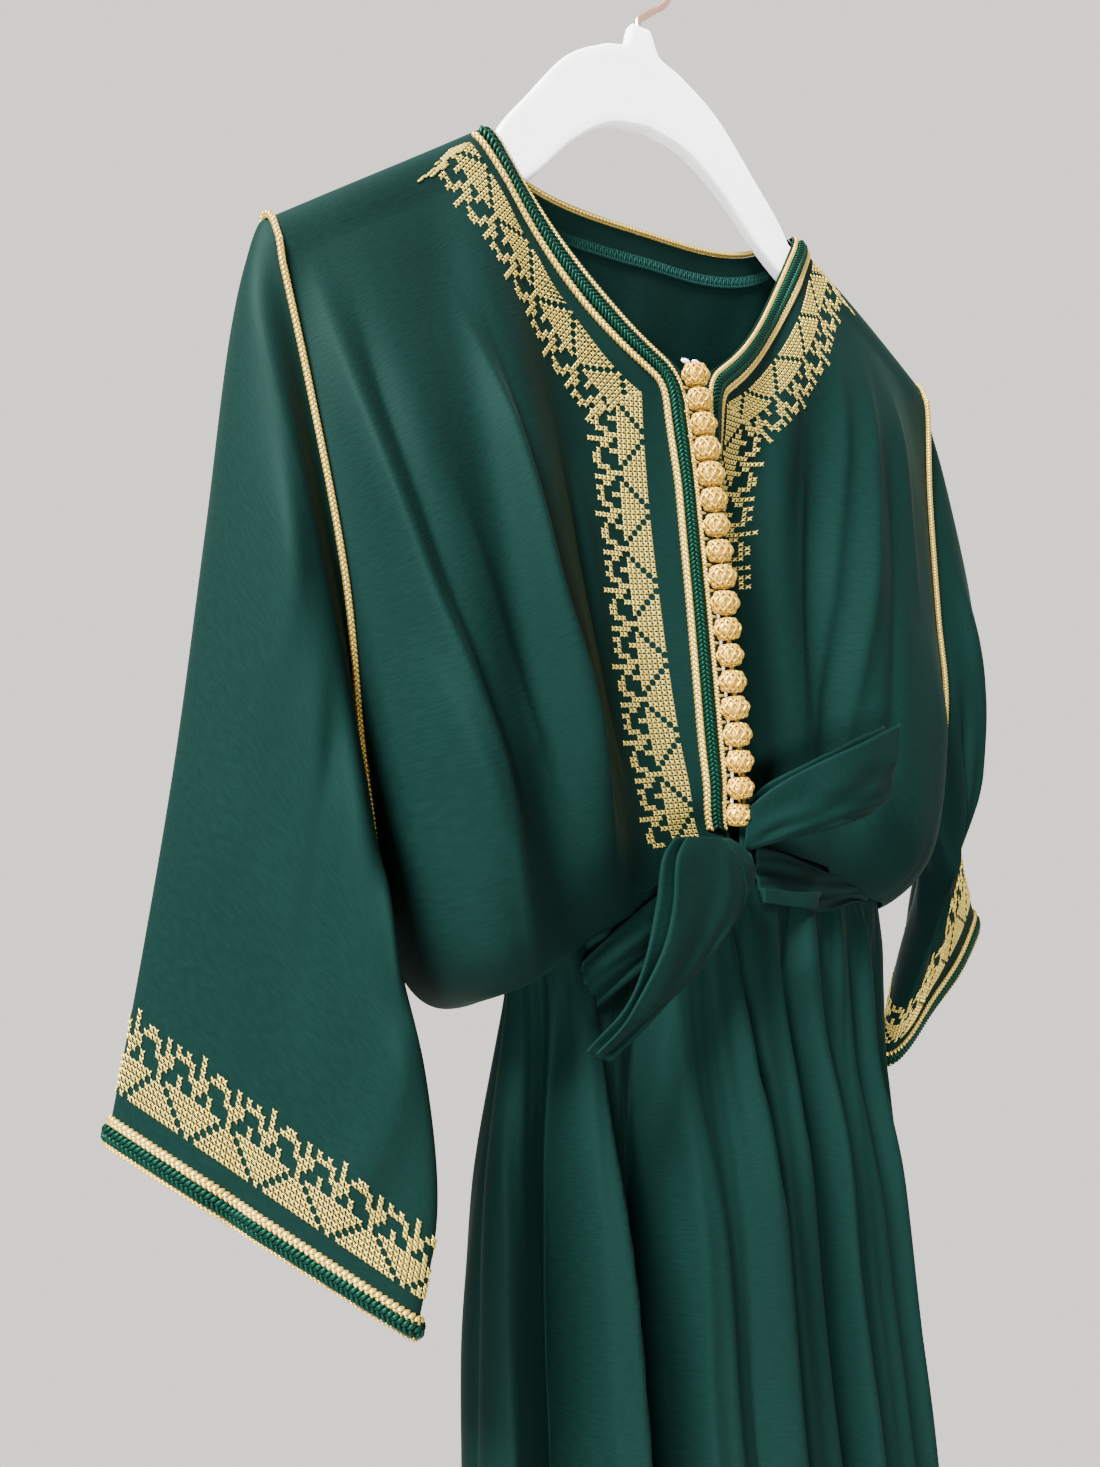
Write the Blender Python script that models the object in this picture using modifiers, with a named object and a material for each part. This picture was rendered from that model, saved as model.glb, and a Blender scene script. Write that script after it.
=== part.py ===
"""A child's Moroccan kaftan hanging on a slim arched hanger.

The part is modelled in metres with +Z up.  The wearer's right is at -X and the
front looks along -Y.  The origin is the inner top of the hanger's hook, the
point that holds the part up.  Each cut piece of cloth is an open sheet whose
points are worked out from its sections and then given a wall with Solidify.
"""
import math
from bisect import bisect_right

import bmesh
import bpy
from mathutils import Vector
from mathutils.bvhtree import BVHTree

# ---------------------------------------------------------------- sizes
CLOTH_WALL = 0.0012
SEAM_GAP = 0.0003
SEAM_SETBACK = 0.00032          # from a seam to the middle of each wall that ends there
NECK_HEIGHT = -0.118            # the neck points, below the top of the hook
NECK_HALF_WIDTH = 0.080
NECK_FRONT_DROP = 0.080
NECK_BACK_DROP = 0.015
FRONT_NECK_POWER = 1.6          # how round the front neckline is
NECK_CORNER_ROUND = 0.0035      # the height cut off the corner at the front edge
NECK_CORNER_REACH = 0.008
BACK_NECK_POWER = 4.0
FRONT_NECK = (NECK_FRONT_DROP, FRONT_NECK_POWER)
BACK_NECK = (NECK_BACK_DROP, BACK_NECK_POWER)
SHOULDER_HALF_WIDTH = 0.164
SHOULDER_DROP = 0.055
SHOULDER_ROUND = 0.005          # radius of the cloth where it lies over the hanger
PLACKET_HALF_GAP = 0.0048       # half the gap that the buttons bridge
WAIST_HALF_WIDTH = 0.098
WAIST_DROP = 0.262
WAIST_SAG = 0.031               # how much lower the waist is at the side seams
WAIST_FRONT = 0.017
WAIST_BACK = 0.020
UNDERARM = 0.82                 # how far down the side edge the armhole ends
SIDE_TURN = (0.55, 0.80)        # where the sides begin and end to turn to the seam
SHOULDER_ROUND_END = 0.045      # how far down a panel its rounded shoulder ends
ROUND_RELEASE = 0.85            # where that rounding fades, towards the waist and the side
WAIST_POWER = 1.3               # how the waist curves down to the side seams
HEM_DROP = 0.780
MERGE_DISTANCE = 0.00002

TRIM_WIDTH = 0.0095
TRIM_THICKNESS = 0.0016
NECK_CORD_RADIUS = 0.0013
PIPING_RADIUS = 0.0013
TRIM_LIFT = 0.0006              # between a trim and the cloth that it lies on
TRIM_EXTRA_LIFT = 0.0009        # where the cloth under it rounds the shoulder
TRIM_ROUNDED = 0.12             # the share of its length that does
TRIM_START = 0.0012             # how far short of the neck points the trims start
TRIM_SOFTEN = 0.04              # the share of its length that rounds a trim's corner
PATH_STEP = 0.01                # between the places that give a trim its direction
TRIM_SOFTEN_STEPS = 4           # on each side of the place
NECK_STRETCH = 1.35             # the neckline's length for its width
TRIM_CROWDING = 1.5             # draws a trim's rows together towards the shoulder
EDGE_SETBACK = 0.0007
FRONT_TRIM_END = 0.2560
NECK_CORD_STEPS = 9             # on each side of the middle
NECK_CORD_REACH = 0.515         # how far across the back it runs
NECK_CORD_LIFT = 0.0021
PIPING_STEPS = 11               # down the front, and as many down the back
PIPING_END = 0.82               # the share of the armhole that its cord follows
PIPING_LIFT = (0.0044, 0.0048)  # above the seam, at the shoulder and the underarm
PIPING_LEAN = (0.0008, -0.0010)
CUFF_TRIM_SHARE = 0.075         # the share of the sleeve's length that the trim covers
CUFF_TRIM_THICKNESS = 0.0014
RING_SAMPLES = 8                # places round a cuff that give its middle

BUTTON_COUNT = 18
BUTTON_PITCH = 0.00985
BUTTON_SIZE = (0.0102, 0.0082, 0.0093)
FIRST_BUTTON_DROP = 0.083
BUTTON_FORWARD = 0.0030         # from the cloth's edge to the button's middle

HANGER_THICKNESS = 0.005
HANGER_EDGE_ROUND = 0.0012
HANGER_CLEARANCE = 0.0017       # below the middle of the cloth that lies on it
HANGER_DIP = 0.0048             # how much lower it starts, just outside the neck
HANGER_EASE = 0.0100
HANGER_NUB_TOP = 0.067
HOOK_WIRE_RADIUS = 0.0015
HOOK_INNER_RADIUS = 0.020
HOOK_STEM = 0.004

# ------------------------------------------------- sections of the fronts
# One row for each section down the panel, from its top edge at 0 to the waist
# at 1.  The columns are places across it, from the front edge to the armhole:
# front edge, trim, embroidery, valley, inner fold, dip, outer fold, armhole.
RIGHT_ACROSS = {
    0.00: (0.0048, 0.015, 0.037, 0.062, 0.089, 0.112, 0.140, 0.164),
    0.20: (0.0048, 0.015, 0.036, 0.062, 0.092, 0.110, 0.136, 0.1575),
    0.45: (0.0048, 0.014, 0.033, 0.058, 0.088, 0.105, 0.128, 0.1515),
    0.68: (0.0048, 0.014, 0.032, 0.052, 0.079, 0.098, 0.121, 0.148),
    0.82: (0.0048, 0.014, 0.032, 0.049, 0.072, 0.092, 0.116, 0.140),
    0.92: (0.0048, 0.014, 0.031, 0.046, 0.065, 0.085, 0.106, 0.124),
    1.00: (0.0048, 0.013, 0.028, 0.043, 0.057, 0.070, 0.084, 0.098),
}
RIGHT_FORWARD = {
    0.00: (0.0090, 0.0080, 0.0060, 0.0015, 0.0000, 0.0000, 0.0000, 0.0000),
    0.20: (0.0120, 0.0080, 0.0030, 0.0030, 0.0100, 0.0075, 0.0115, 0.0025),
    0.45: (0.0135, 0.0080, 0.0000, 0.0000, 0.0220, 0.0160, 0.0240, 0.0060),
    0.68: (0.0140, 0.0080, 0.0000, 0.0010, 0.0260, 0.0190, 0.0290, 0.0040),
    0.82: (0.0140, 0.0085, 0.0020, 0.0040, 0.0240, 0.0200, 0.0300, 0.0000),
    0.92: (0.0140, 0.0105, 0.0060, 0.0080, 0.0200, 0.0190, 0.0250, 0.0000),
    1.00: (0.0170, 0.0168, 0.0163, 0.0153, 0.0138, 0.0119, 0.0088, 0.0000),
}
LEFT_ACROSS = {
    0.00: (0.0048, 0.015, 0.037, 0.062, 0.089, 0.112, 0.140, 0.164),
    0.20: (0.0048, 0.015, 0.036, 0.055, 0.080, 0.106, 0.134, 0.1575),
    0.45: (0.0048, 0.014, 0.033, 0.048, 0.068, 0.095, 0.125, 0.1515),
    0.68: (0.0048, 0.014, 0.032, 0.046, 0.063, 0.088, 0.119, 0.148),
    0.82: (0.0048, 0.014, 0.032, 0.046, 0.062, 0.085, 0.114, 0.140),
    0.92: (0.0048, 0.014, 0.031, 0.045, 0.060, 0.081, 0.105, 0.124),
    1.00: (0.0048, 0.013, 0.028, 0.043, 0.057, 0.070, 0.084, 0.098),
}
LEFT_FORWARD = {
    0.00: (0.0090, 0.0080, 0.0060, 0.0015, 0.0000, 0.0000, 0.0000, 0.0000),
    0.20: (0.0120, 0.0080, 0.0030, 0.0070, 0.0060, 0.0110, 0.0090, 0.0000),
    0.45: (0.0135, 0.0080, 0.0010, 0.0090, 0.0050, 0.0170, 0.0140, 0.0020),
    0.68: (0.0140, 0.0080, 0.0010, 0.0100, 0.0050, 0.0190, 0.0190, 0.0030),
    0.82: (0.0140, 0.0085, 0.0035, 0.0105, 0.0085, 0.0170, 0.0190, 0.0000),
    0.92: (0.0140, 0.0105, 0.0080, 0.0125, 0.0125, 0.0155, 0.0160, 0.0000),
    1.00: (0.0170, 0.0168, 0.0163, 0.0153, 0.0138, 0.0119, 0.0088, 0.0000),
}
# How far each place hangs below the waist seam where the bodice blouses over.
BLOUSE_DROP = (0.000, 0.000, 0.001, 0.004, 0.009, 0.014, 0.022, 0.026)
BLOUSE_START = 0.75
BLOUSE_POWER = 0.8              # how full the blousing is

# The back: centre back, inner fold, dip, outer fold, side, armhole.
BACK_ACROSS = {
    0.00: (0.000, 0.030, 0.060, 0.090, 0.130, 0.164),
    0.20: (0.000, 0.031, 0.061, 0.090, 0.127, 0.1575),
    0.45: (0.000, 0.029, 0.057, 0.086, 0.121, 0.1515),
    0.68: (0.000, 0.026, 0.052, 0.080, 0.117, 0.148),
    0.82: (0.000, 0.024, 0.048, 0.075, 0.112, 0.140),
    0.92: (0.000, 0.022, 0.044, 0.069, 0.103, 0.124),
    1.00: (0.000, 0.020, 0.040, 0.060, 0.080, 0.098),
}
BACK_BACKWARD = {
    0.00: (0.0035, 0.0035, 0.0025, 0.0000, 0.0000, 0.0000),
    0.20: (0.0110, 0.0140, 0.0100, 0.0110, 0.0080, 0.0025),
    0.45: (0.0180, 0.0240, 0.0170, 0.0240, 0.0160, 0.0060),
    0.68: (0.0200, 0.0270, 0.0200, 0.0280, 0.0200, 0.0040),
    0.82: (0.0200, 0.0260, 0.0200, 0.0270, 0.0210, 0.0000),
    0.92: (0.0210, 0.0240, 0.0200, 0.0240, 0.0180, 0.0000),
    1.00: (0.0200, 0.0196, 0.0183, 0.0158, 0.0116, 0.0000),
}
BACK_BLOUSE_DROP = (0.004, 0.007, 0.007, 0.012, 0.020, 0.026)

# ------------------------------------------------- sections of the sleeves
# One row for each section from the armhole to the cuff.  Columns: the outer
# end of the flattened section (x, y, z) and its inner end (x, y, z), both
# below the neck points, then how far its front and its back layer bulge.
RIGHT_SLEEVE = {
    0.00: (0.164, 0.000, -0.055, 0.140, 0.000, -0.262, 0.006, 0.006),
    0.15: (0.173, 0.004, -0.082, 0.148, -0.009, -0.274, 0.018, 0.014),
    0.35: (0.183, 0.012, -0.146, 0.152, -0.027, -0.288, 0.017, 0.014),
    0.60: (0.195, 0.024, -0.226, 0.149, -0.035, -0.313, 0.013, 0.011),
    0.80: (0.205, 0.033, -0.282, 0.147, -0.033, -0.350, 0.009, 0.008),
    1.00: (0.215, 0.040, -0.331, 0.152, -0.024, -0.386, 0.006, 0.006),
}
LEFT_SLEEVE = {
    0.00: (0.164, 0.000, -0.055, 0.140, 0.000, -0.262, 0.001, 0.006),
    0.15: (0.174, 0.001, -0.086, 0.147, 0.001, -0.272, 0.010, 0.016),
    0.35: (0.188, 0.003, -0.150, 0.150, 0.002, -0.292, 0.012, 0.016),
    0.60: (0.195, 0.012, -0.215, 0.147, 0.004, -0.325, 0.010, 0.013),
    0.80: (0.199, 0.022, -0.272, 0.143, 0.009, -0.362, 0.008, 0.010),
    1.00: (0.213, 0.030, -0.325, 0.139, 0.016, -0.395, 0.006, 0.008),
}

SLEEVE_FULLNESS = 0.75          # how squarely its layers bulge
SLEEVE_JOIN = 0.16              # how far along the sleeve it leaves the armhole's form
SLEEVE_LEAVE = 0.006            # how far it runs on straight past the seam meanwhile
SLEEVE_CROWDING = 1.8           # draws its rows together towards the armhole
UNDERARM_CROWDING = 1.6         # draws its columns together towards the underarm
SLEEVE_OPEN = 0.0030            # keeps its two layers apart near the underarm
SLEEVE_OPEN_OVER = 0.015        # how far above the underarm it is open so far

# ------------------------------------------------------- folds of the skirt
# One row for each fold that hangs down the skirt: its place across the panel
# (0 at the right side seam, 1 at the left), half its width there, how far it
# stands out, and how far down the skirt it has formed.
FRONT_FOLDS = (
    (0.045, 0.040, 0.006, 0.10),
    (0.120, 0.034, 0.010, 0.05),
    (0.190, 0.028, 0.013, 0.05),
    (0.258, 0.030, 0.011, 0.08),
    (0.362, 0.054, 0.015, 0.12),
    (0.480, 0.040, 0.012, 0.05),
    (0.562, 0.030, 0.014, 0.15),
    (0.632, 0.030, 0.011, 0.05),
    (0.708, 0.040, 0.013, 0.10),
    (0.782, 0.030, 0.010, 0.12),
    (0.848, 0.034, 0.012, 0.05),
    (0.910, 0.028, 0.009, 0.05),
    (0.965, 0.030, 0.006, 0.10),
)
BACK_FOLDS = (
    (0.060, 0.045, 0.007, 0.10),
    (0.150, 0.040, 0.011, 0.05),
    (0.240, 0.040, 0.012, 0.15),
    (0.330, 0.044, 0.011, 0.05),
    (0.425, 0.044, 0.012, 0.10),
    (0.520, 0.044, 0.013, 0.05),
    (0.610, 0.040, 0.010, 0.15),
    (0.700, 0.044, 0.012, 0.05),
    (0.790, 0.040, 0.011, 0.10),
    (0.875, 0.038, 0.009, 0.05),
    (0.950, 0.032, 0.006, 0.10),
)
# Half the skirt's width and its depth to the front and back, down its length.
SKIRT_SECTIONS = {
    0.00: (0.0980, 0.0170, 0.0200),
    0.10: (0.1030, 0.0200, 0.0240),
    0.35: (0.1120, 0.0250, 0.0290),
    0.70: (0.1260, 0.0300, 0.0340),
    1.00: (0.1380, 0.0330, 0.0370),
}
FOLD_SHARPNESS = 0.6            # the share of a fold's half-width that its crest takes
FOLD_LEAD = 0.08                # how far above its start a fold begins to form
FOLD_FORMING = 0.35             # over which share of the skirt it does
SKIRT_INSET = 0.0024            # the skirt's top lies inside the bodice's lower edge
SKIRT_SEAM_CALM = 0.35          # folds die out near the side seams
SKIRT_TOP_CALM = 0.06           # and over this share of the skirt below the waist
SKIRT_GATHERS = 30
SKIRT_GATHER_DEPTH = 0.0016
SKIRT_GATHER_END = 0.16

# ---------------------------------------------------------- the tied belt
# The belt's two ends run round the waist to the knot.  The bow's ribbons have
# a row for each section along them: one edge (x, z below the neck points), the
# other edge (x, z), the depth y, and half the gap between two folded layers.
# A loop's first edges are its open ones, and its other edge is its fold.
BELT_ENDS = (0.0040, 0.0760)
BELT_HALF_HEIGHT = 0.0095
BELT_BELOW_WAIST = (0.0100, 0.0190)
BELT_FORWARD = 0.0028
BELT_FOLD_DEPTH = 0.0008
BELT_FOLDS = 3
BOW_RIGHT = (
    (-0.0460, -0.2550, -0.0280, -0.2570, -0.0350, 0.0028),
    (-0.0530, -0.2620, -0.0205, -0.2650, -0.0358, 0.0032),
    (-0.0570, -0.2770, -0.0190, -0.2780, -0.0359, 0.0033),
    (-0.0640, -0.2930, -0.0310, -0.2910, -0.0360, 0.0030),
    (-0.0760, -0.3080, -0.0540, -0.3060, -0.0350, 0.0026),
    (-0.0900, -0.3180, -0.0830, -0.3220, -0.0340, 0.0018),
)
BOW_LEFT = (
    (-0.0110, -0.2600, -0.0115, -0.2720, -0.0347, 0.0026),
    (0.0070, -0.2400, 0.0060, -0.2790, -0.0385, 0.0040),
    (0.0270, -0.2310, 0.0260, -0.2800, -0.0400, 0.0045),
    (0.0480, -0.2260, 0.0470, -0.2680, -0.0390, 0.0045),
    (0.0690, -0.2210, 0.0660, -0.2480, -0.0370, 0.0040),
)
BOW_TAIL = (
    (-0.0085, -0.2760, -0.0085, -0.2830, -0.0350, 0.0),
    (0.0080, -0.2803, 0.0080, -0.2875, -0.0380, 0.0),
    (0.0240, -0.2818, 0.0235, -0.2900, -0.0392, 0.0),
)
KNOT_PLACE = (-0.0190, -0.0275, -0.2700)
KNOT_HALF_SIZE = (0.0130, 0.0060, 0.0120)

# ------------------------------------------------------------ the hanger
# Heights of the body's upper and lower outlines above the neck points, at
# distances from its middle.  Outside the neck the upper one follows the cloth.
HANGER_TOP = {
    0.0000: 0.0670, 0.0050: 0.0665, 0.0066: 0.0610, 0.0090: 0.0570, 0.0200: 0.0530,
    0.0400: 0.0410, 0.0600: 0.0190, 0.0720: 0.0050, 0.0785: -0.0060,
}
HANGER_BOTTOM = {
    0.0000: 0.0240, 0.0200: 0.0200, 0.0400: 0.0070, 0.0600: -0.0120,
    0.0800: -0.0260, 0.1200: -0.0450, 0.1500: -0.0570,
}
HANGER_STEPS = (
    0.0000, 0.0050, 0.0066, 0.0090, 0.0200, 0.0300, 0.0400, 0.0500,
    0.0600, 0.0700, 0.0785, 0.0850, 0.1000, 0.1250, 0.1500,
)
HOOK_ARC = (-60, 205)           # degrees round the hook's circle
HOOK_STEPS = 12

# ---------------------------------------------------------------- grids
EDGE_CROWDING = 1.4
FRONT_GRID = (20, 20)
BACK_GRID = (28, 16)
SLEEVE_GRID = (24, 12)
SKIRT_GRID = (60, 7)
BELT_GRID = (6, 7)
BOW_GRID = (9, 9)
TAIL_GRID = (2, 4)
TRIM_GRID = (2, 34)
CUFF_TRIM_GRID = (24, 2)

COLOURS = {
    "cloth": ((0.010, 0.075, 0.058, 1.0), 0.55, 0.0),
    "gold": ((0.72, 0.50, 0.22, 1.0), 0.45, 0.6),
    "braid": ((0.006, 0.080, 0.055, 1.0), 0.40, 0.0),
    "button": ((0.66, 0.42, 0.14, 1.0), 0.45, 0.6),
    "flock": ((0.80, 0.81, 0.83, 1.0), 0.85, 0.0),
    "metal": ((0.78, 0.45, 0.34, 1.0), 0.25, 1.0),
}


# ------------------------------------------------------------- small tools
def clamp(value, low=0.0, high=1.0):
    return max(low, min(high, value))


def ease(value):
    """Go smoothly from 0 to 1 as value does."""
    value = clamp(value)
    return value * value * (3.0 - 2.0 * value)


def through(knots, values, place):
    """Read a smooth curve that passes through a value at each knot."""
    last = len(knots) - 2
    i = int(clamp(bisect_right(knots, place) - 1, 0, last))
    span = knots[i + 1] - knots[i]
    part = (place - knots[i]) / span

    def slope(k):
        low, high = max(k - 1, 0), min(k + 1, last + 1)
        return (values[high] - values[low]) / (knots[high] - knots[low])

    square, cube = part * part, part ** 3
    return (
        (2 * cube - 3 * square + 1) * values[i]
        + (cube - 2 * square + part) * span * slope(i)
        + (3 * square - 2 * cube) * values[i + 1]
        + (cube - square) * span * slope(i + 1)
    )


def section(table, across, down, turn=None):
    """Read a table of sections at a place across (0..1) and down (0..1).

    Towards its side seam a panel turns as an ellipse does, so that it meets
    the other panel edge to edge; turn is the curve that this column follows.
    """
    downs = list(table)
    columns = range(len(table[downs[0]]))
    row = [through(downs, [table[d][k] for d in downs], down) for k in columns]
    spaces = len(row) - 1
    value = through([k / spaces for k in range(len(row))], row, across)
    part = across * spaces - (spaces - 1)
    if turn is None or part <= 0.0:
        return value
    turned = row[-2] + (row[-1] - row[-2]) * turn(part)
    share = ease((down - SIDE_TURN[0]) / (SIDE_TURN[1] - SIDE_TURN[0]))
    return value + (turned - value) * share


def quarter_sine(part):
    return math.sin(part * math.pi / 2)


def quarter_cosine(part):
    return 1.0 - math.cos(part * math.pi / 2)


def row_at(table, place):
    """Read every column of a table of rows at one place."""
    knots = list(table)
    columns = range(len(table[knots[0]]))
    return [through(knots, [table[k][c] for k in knots], place) for c in columns]


def unlink_all():
    for item in list(bpy.data.objects):
        bpy.data.objects.remove(item, do_unlink=True)


def collection(name):
    made = bpy.data.collections.new(name)
    bpy.context.scene.collection.children.link(made)
    return made


def material(name):
    colour, roughness, metallic = COLOURS[name]
    made = bpy.data.materials.new(name)
    made.use_nodes = True
    shader = made.node_tree.nodes["Principled BSDF"]
    shader.inputs["Base Color"].default_value = colour
    shader.inputs["Roughness"].default_value = roughness
    shader.inputs["Metallic"].default_value = metallic
    made.diffuse_color = colour
    return made


def add(name, data, kind):
    """Put an object in the kaftan's collection with its own material."""
    made = bpy.data.objects.new(name, data)
    made.data.materials.append(material(kind))
    KAFTAN.objects.link(made)
    return made


def sheet_mesh(name, point, grid, closed=False):
    """Make an open sheet: a grid whose points are moved to point(u, v)."""
    bm = bmesh.new()
    bmesh.ops.create_grid(bm, x_segments=grid[0], y_segments=grid[1], size=0.5)
    for vert in bm.verts:
        vert.co = point(vert.co.x + 0.5, vert.co.y + 0.5)
    if closed:
        bmesh.ops.remove_doubles(bm, verts=bm.verts, dist=MERGE_DISTANCE)
    mesh = bpy.data.meshes.new(name)
    bm.to_mesh(mesh)
    bm.free()
    return mesh


def cloth(name, point, grid, closed=False, kind="cloth", wall=CLOTH_WALL):
    """Make a cut piece: a sheet with a wall of even thickness."""
    made = add(name, sheet_mesh(name, point, grid, closed), kind)
    solid = made.modifiers.new("wall", "SOLIDIFY")
    solid.thickness = wall
    solid.offset = 0.0
    made.data.shade_smooth()
    return made


def tube(name, points, radius, kind, closed=False, sides=2):
    """Make a cord: a curve through points with a round section."""
    curve = bpy.data.curves.new(name, "CURVE")
    curve.dimensions = "3D"
    curve.bevel_depth = radius
    curve.bevel_resolution = sides
    curve.use_fill_caps = True
    spline = curve.splines.new("POLY")
    spline.points.add(len(points) - 1)
    for knot, place in zip(spline.points, points):
        knot.co = (*place, 1.0)
    spline.use_cyclic_u = closed
    return add(name, curve, kind)


# ---------------------------------------------------------------- bodice
def shoulder_line(x):
    """The height of the shoulder line, outside the neck point."""
    part = (x - NECK_HALF_WIDTH) / (SHOULDER_HALF_WIDTH - NECK_HALF_WIDTH)
    return -SHOULDER_DROP * part


def top_line(x, neck):
    """The height of a panel's top edge: the neckline, then the shoulder."""
    neck_drop, power = neck
    if x > NECK_HALF_WIDTH:
        return shoulder_line(x)
    corner = clamp(1.0 - (x - PLACKET_HALF_GAP) / NECK_CORNER_REACH)
    cut = NECK_CORNER_ROUND * corner ** 2 if neck == FRONT_NECK else 0.0
    return -neck_drop * (1.0 - (x / NECK_HALF_WIDTH) ** power) - cut


def waist_line(x):
    return -WAIST_DROP - WAIST_SAG * (abs(x) / WAIST_HALF_WIDTH) ** WAIST_POWER


def panel_point(across, down, tables, neck):
    """A point of a bodice panel, as its half-width, depth and height."""
    widths, depths, drops = tables
    top_x = section(widths, across, 0.0)
    top = top_line(top_x, neck)
    low = waist_line(section(widths, across, 1.0))
    lying = clamp(1.0 + top / SHOULDER_ROUND) if top_x < NECK_HALF_WIDTH else 1.0
    turn = clamp(down / SHOULDER_ROUND_END)
    height = top + (low - top) * down * (1.0 + lying * (turn ** 2 - 1.0))
    height -= lying * SHOULDER_ROUND * quarter_cosine(turn)
    hang = (down - BLOUSE_START) / (1.0 - BLOUSE_START)
    if hang > 0.0:
        drop = through([k / (len(drops) - 1) for k in range(len(drops))], drops, across)
        height -= drop * math.sin(math.pi * hang) ** BLOUSE_POWER
    rounding = max(quarter_sine(turn), math.sqrt(1.0 - lying ** 2))
    release = 1.0 - ease((down - ROUND_RELEASE) / (1.0 - ROUND_RELEASE))
    depth = max(section(depths, across, down, quarter_cosine), 0.0)
    depth += SHOULDER_ROUND * rounding * release * side_release(across, down)
    return section(widths, across, down, quarter_sine), depth + SEAM_SETBACK, height


def side_release(across, down):
    """Fade the shoulder's rounding out towards the side seam."""
    near = ease((across - ROUND_RELEASE) / (1.0 - ROUND_RELEASE))
    return 1.0 - near * ease((down - SIDE_TURN[0]) / (SIDE_TURN[1] - SIDE_TURN[0]))


def front(side):
    """The surface of the right (-1) or left (+1) front."""
    tables = FRONT_TABLES[side]

    def point(u, v):
        place = u if side > 0 else 1.0 - u
        across = 1.0 - crowd(1.0 - place)
        x, depth, height = panel_point(across, ease(1.0 - v), tables, FRONT_NECK)
        return Vector((side * x, -depth, NECK_HEIGHT + height))
    return point


def crowd(value):
    """Draw places together towards 0, so that an edge turns in small steps."""
    return value ** EDGE_CROWDING


def back(u, v):
    """The surface of the back, from the left armhole to the right one."""
    side = 1.0 - 2.0 * u
    across = 1.0 - crowd(1.0 - abs(side))
    x, depth, height = panel_point(across, ease(1.0 - v), BACK_TABLES, BACK_NECK)
    return Vector((math.copysign(x, side), depth, NECK_HEIGHT + height))


def build_bodice():
    cloth("front_right", FRONTS[-1], FRONT_GRID)
    cloth("front_left", FRONTS[1], FRONT_GRID)
    cloth("back", back, BACK_GRID)


# --------------------------------------------------------------- sleeves
def armhole(side, around):
    """Where the sleeve starts round the armhole: down the front, up the back."""
    down = UNDERARM * (1.0 - abs(1.0 - 2.0 * around) ** UNDERARM_CROWDING)
    if around <= 0.5:
        tables = FRONT_TABLES[side]
        x, depth, height = panel_point(1.0, down, tables, FRONT_NECK)
        depth = -depth
    else:
        x, depth, height = panel_point(1.0, down, BACK_TABLES, BACK_NECK)
    turned = ease((down - SIDE_TURN[0]) / (UNDERARM - SIDE_TURN[0]))
    opened = SLEEVE_OPEN * turned * clamp((UNDERARM - down) / SLEEVE_OPEN_OVER)
    depth = depth + math.copysign(opened, depth) if around % 0.5 > 0.0 else 0.0
    return Vector((side * (x + SEAM_GAP + CLOTH_WALL), depth, NECK_HEIGHT + height))


def sleeve(side):
    """The surface of a sleeve; v runs from the cuff at 0 to the armhole at 1."""
    table = RIGHT_SLEEVE if side < 0 else LEFT_SLEEVE

    def point(u, v):
        along = (1.0 - v) ** SLEEVE_CROWDING
        around = u if side < 0 else 1.0 - u
        row = row_at(table, along)
        outer = Vector((side * row[0], row[1], NECK_HEIGHT + row[2]))
        inner = Vector((side * row[3], row[4], NECK_HEIGHT + row[5]))
        across = (inner - outer).normalized()
        facing = across.cross(Vector((0.0, -1.0, 0.0))).cross(across).normalized()
        way = 1.0 - abs(1.0 - 2.0 * around) ** (1.0 + (UNDERARM_CROWDING - 1.0) * (1.0 - along))
        turn = math.pi * way
        front_layer = around <= 0.5
        bulge = row[6] if front_layer else -row[7]
        place = outer.lerp(inner, 0.5 - 0.5 * math.cos(turn) if way < 1.0 else 1.0)
        place += facing * bulge * math.sin(turn) ** SLEEVE_FULLNESS if 0.0 < way < 1.0 else Vector()
        start = armhole(side, around) + Vector((side * SLEEVE_LEAVE * along / SLEEVE_JOIN, 0, 0))
        return start.lerp(place, ease(along / SLEEVE_JOIN))
    return point


def build_sleeves():
    for side, word in ((-1, "right"), (1, "left")):
        surface = SLEEVES[side]
        cloth("sleeve_" + word, surface, SLEEVE_GRID, closed=True)


# ----------------------------------------------------------------- skirt
def fold_height(folds, across, down):
    """How far the folds of a table stand out at one place of the skirt."""
    total = 0.0
    for centre, half_width, height, start in folds:
        shape = math.exp(-((across - centre) / (FOLD_SHARPNESS * half_width)) ** 2)
        total += height * shape * ease((down + FOLD_LEAD - start) / FOLD_FORMING)
    gathers = math.sin(math.pi * SKIRT_GATHERS * across) ** 2
    return total + SKIRT_GATHER_DEPTH * gathers * (1.0 - ease(down / SKIRT_GATHER_END))


def skirt(facing):
    """The surface of the skirt's front (-1) or back (1)."""
    folds = FRONT_FOLDS if facing < 0 else BACK_FOLDS

    def point(u, v):
        down = crowd(1.0 - v)
        half, front_depth, back_depth = row_at(SKIRT_SECTIONS, down)
        depth = front_depth if facing < 0 else back_depth
        angle = math.pi * u
        out = Vector((-math.cos(angle) * depth, facing * math.sin(angle) * half, 0.0)).normalized()
        x = -math.cos(angle) * (half - SKIRT_INSET)
        y = facing * (math.sin(angle) * (depth - SKIRT_INSET) + SEAM_SETBACK)
        free = clamp(math.sin(angle) / SKIRT_SEAM_CALM) ** 0.5
        rise = fold_height(folds, u, down) * free * ease(down / SKIRT_TOP_CALM)
        top = NECK_HEIGHT + waist_line(x)
        height = top + (NECK_HEIGHT - HEM_DROP - top) * down
        return Vector((x, y, height)) + out * rise
    if facing > 0:
        return lambda u, v: point(1.0 - u, v)
    return point


def build_skirt():
    cloth("skirt_front", skirt(-1), SKIRT_GRID)
    cloth("skirt_back", skirt(1), SKIRT_GRID)


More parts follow.
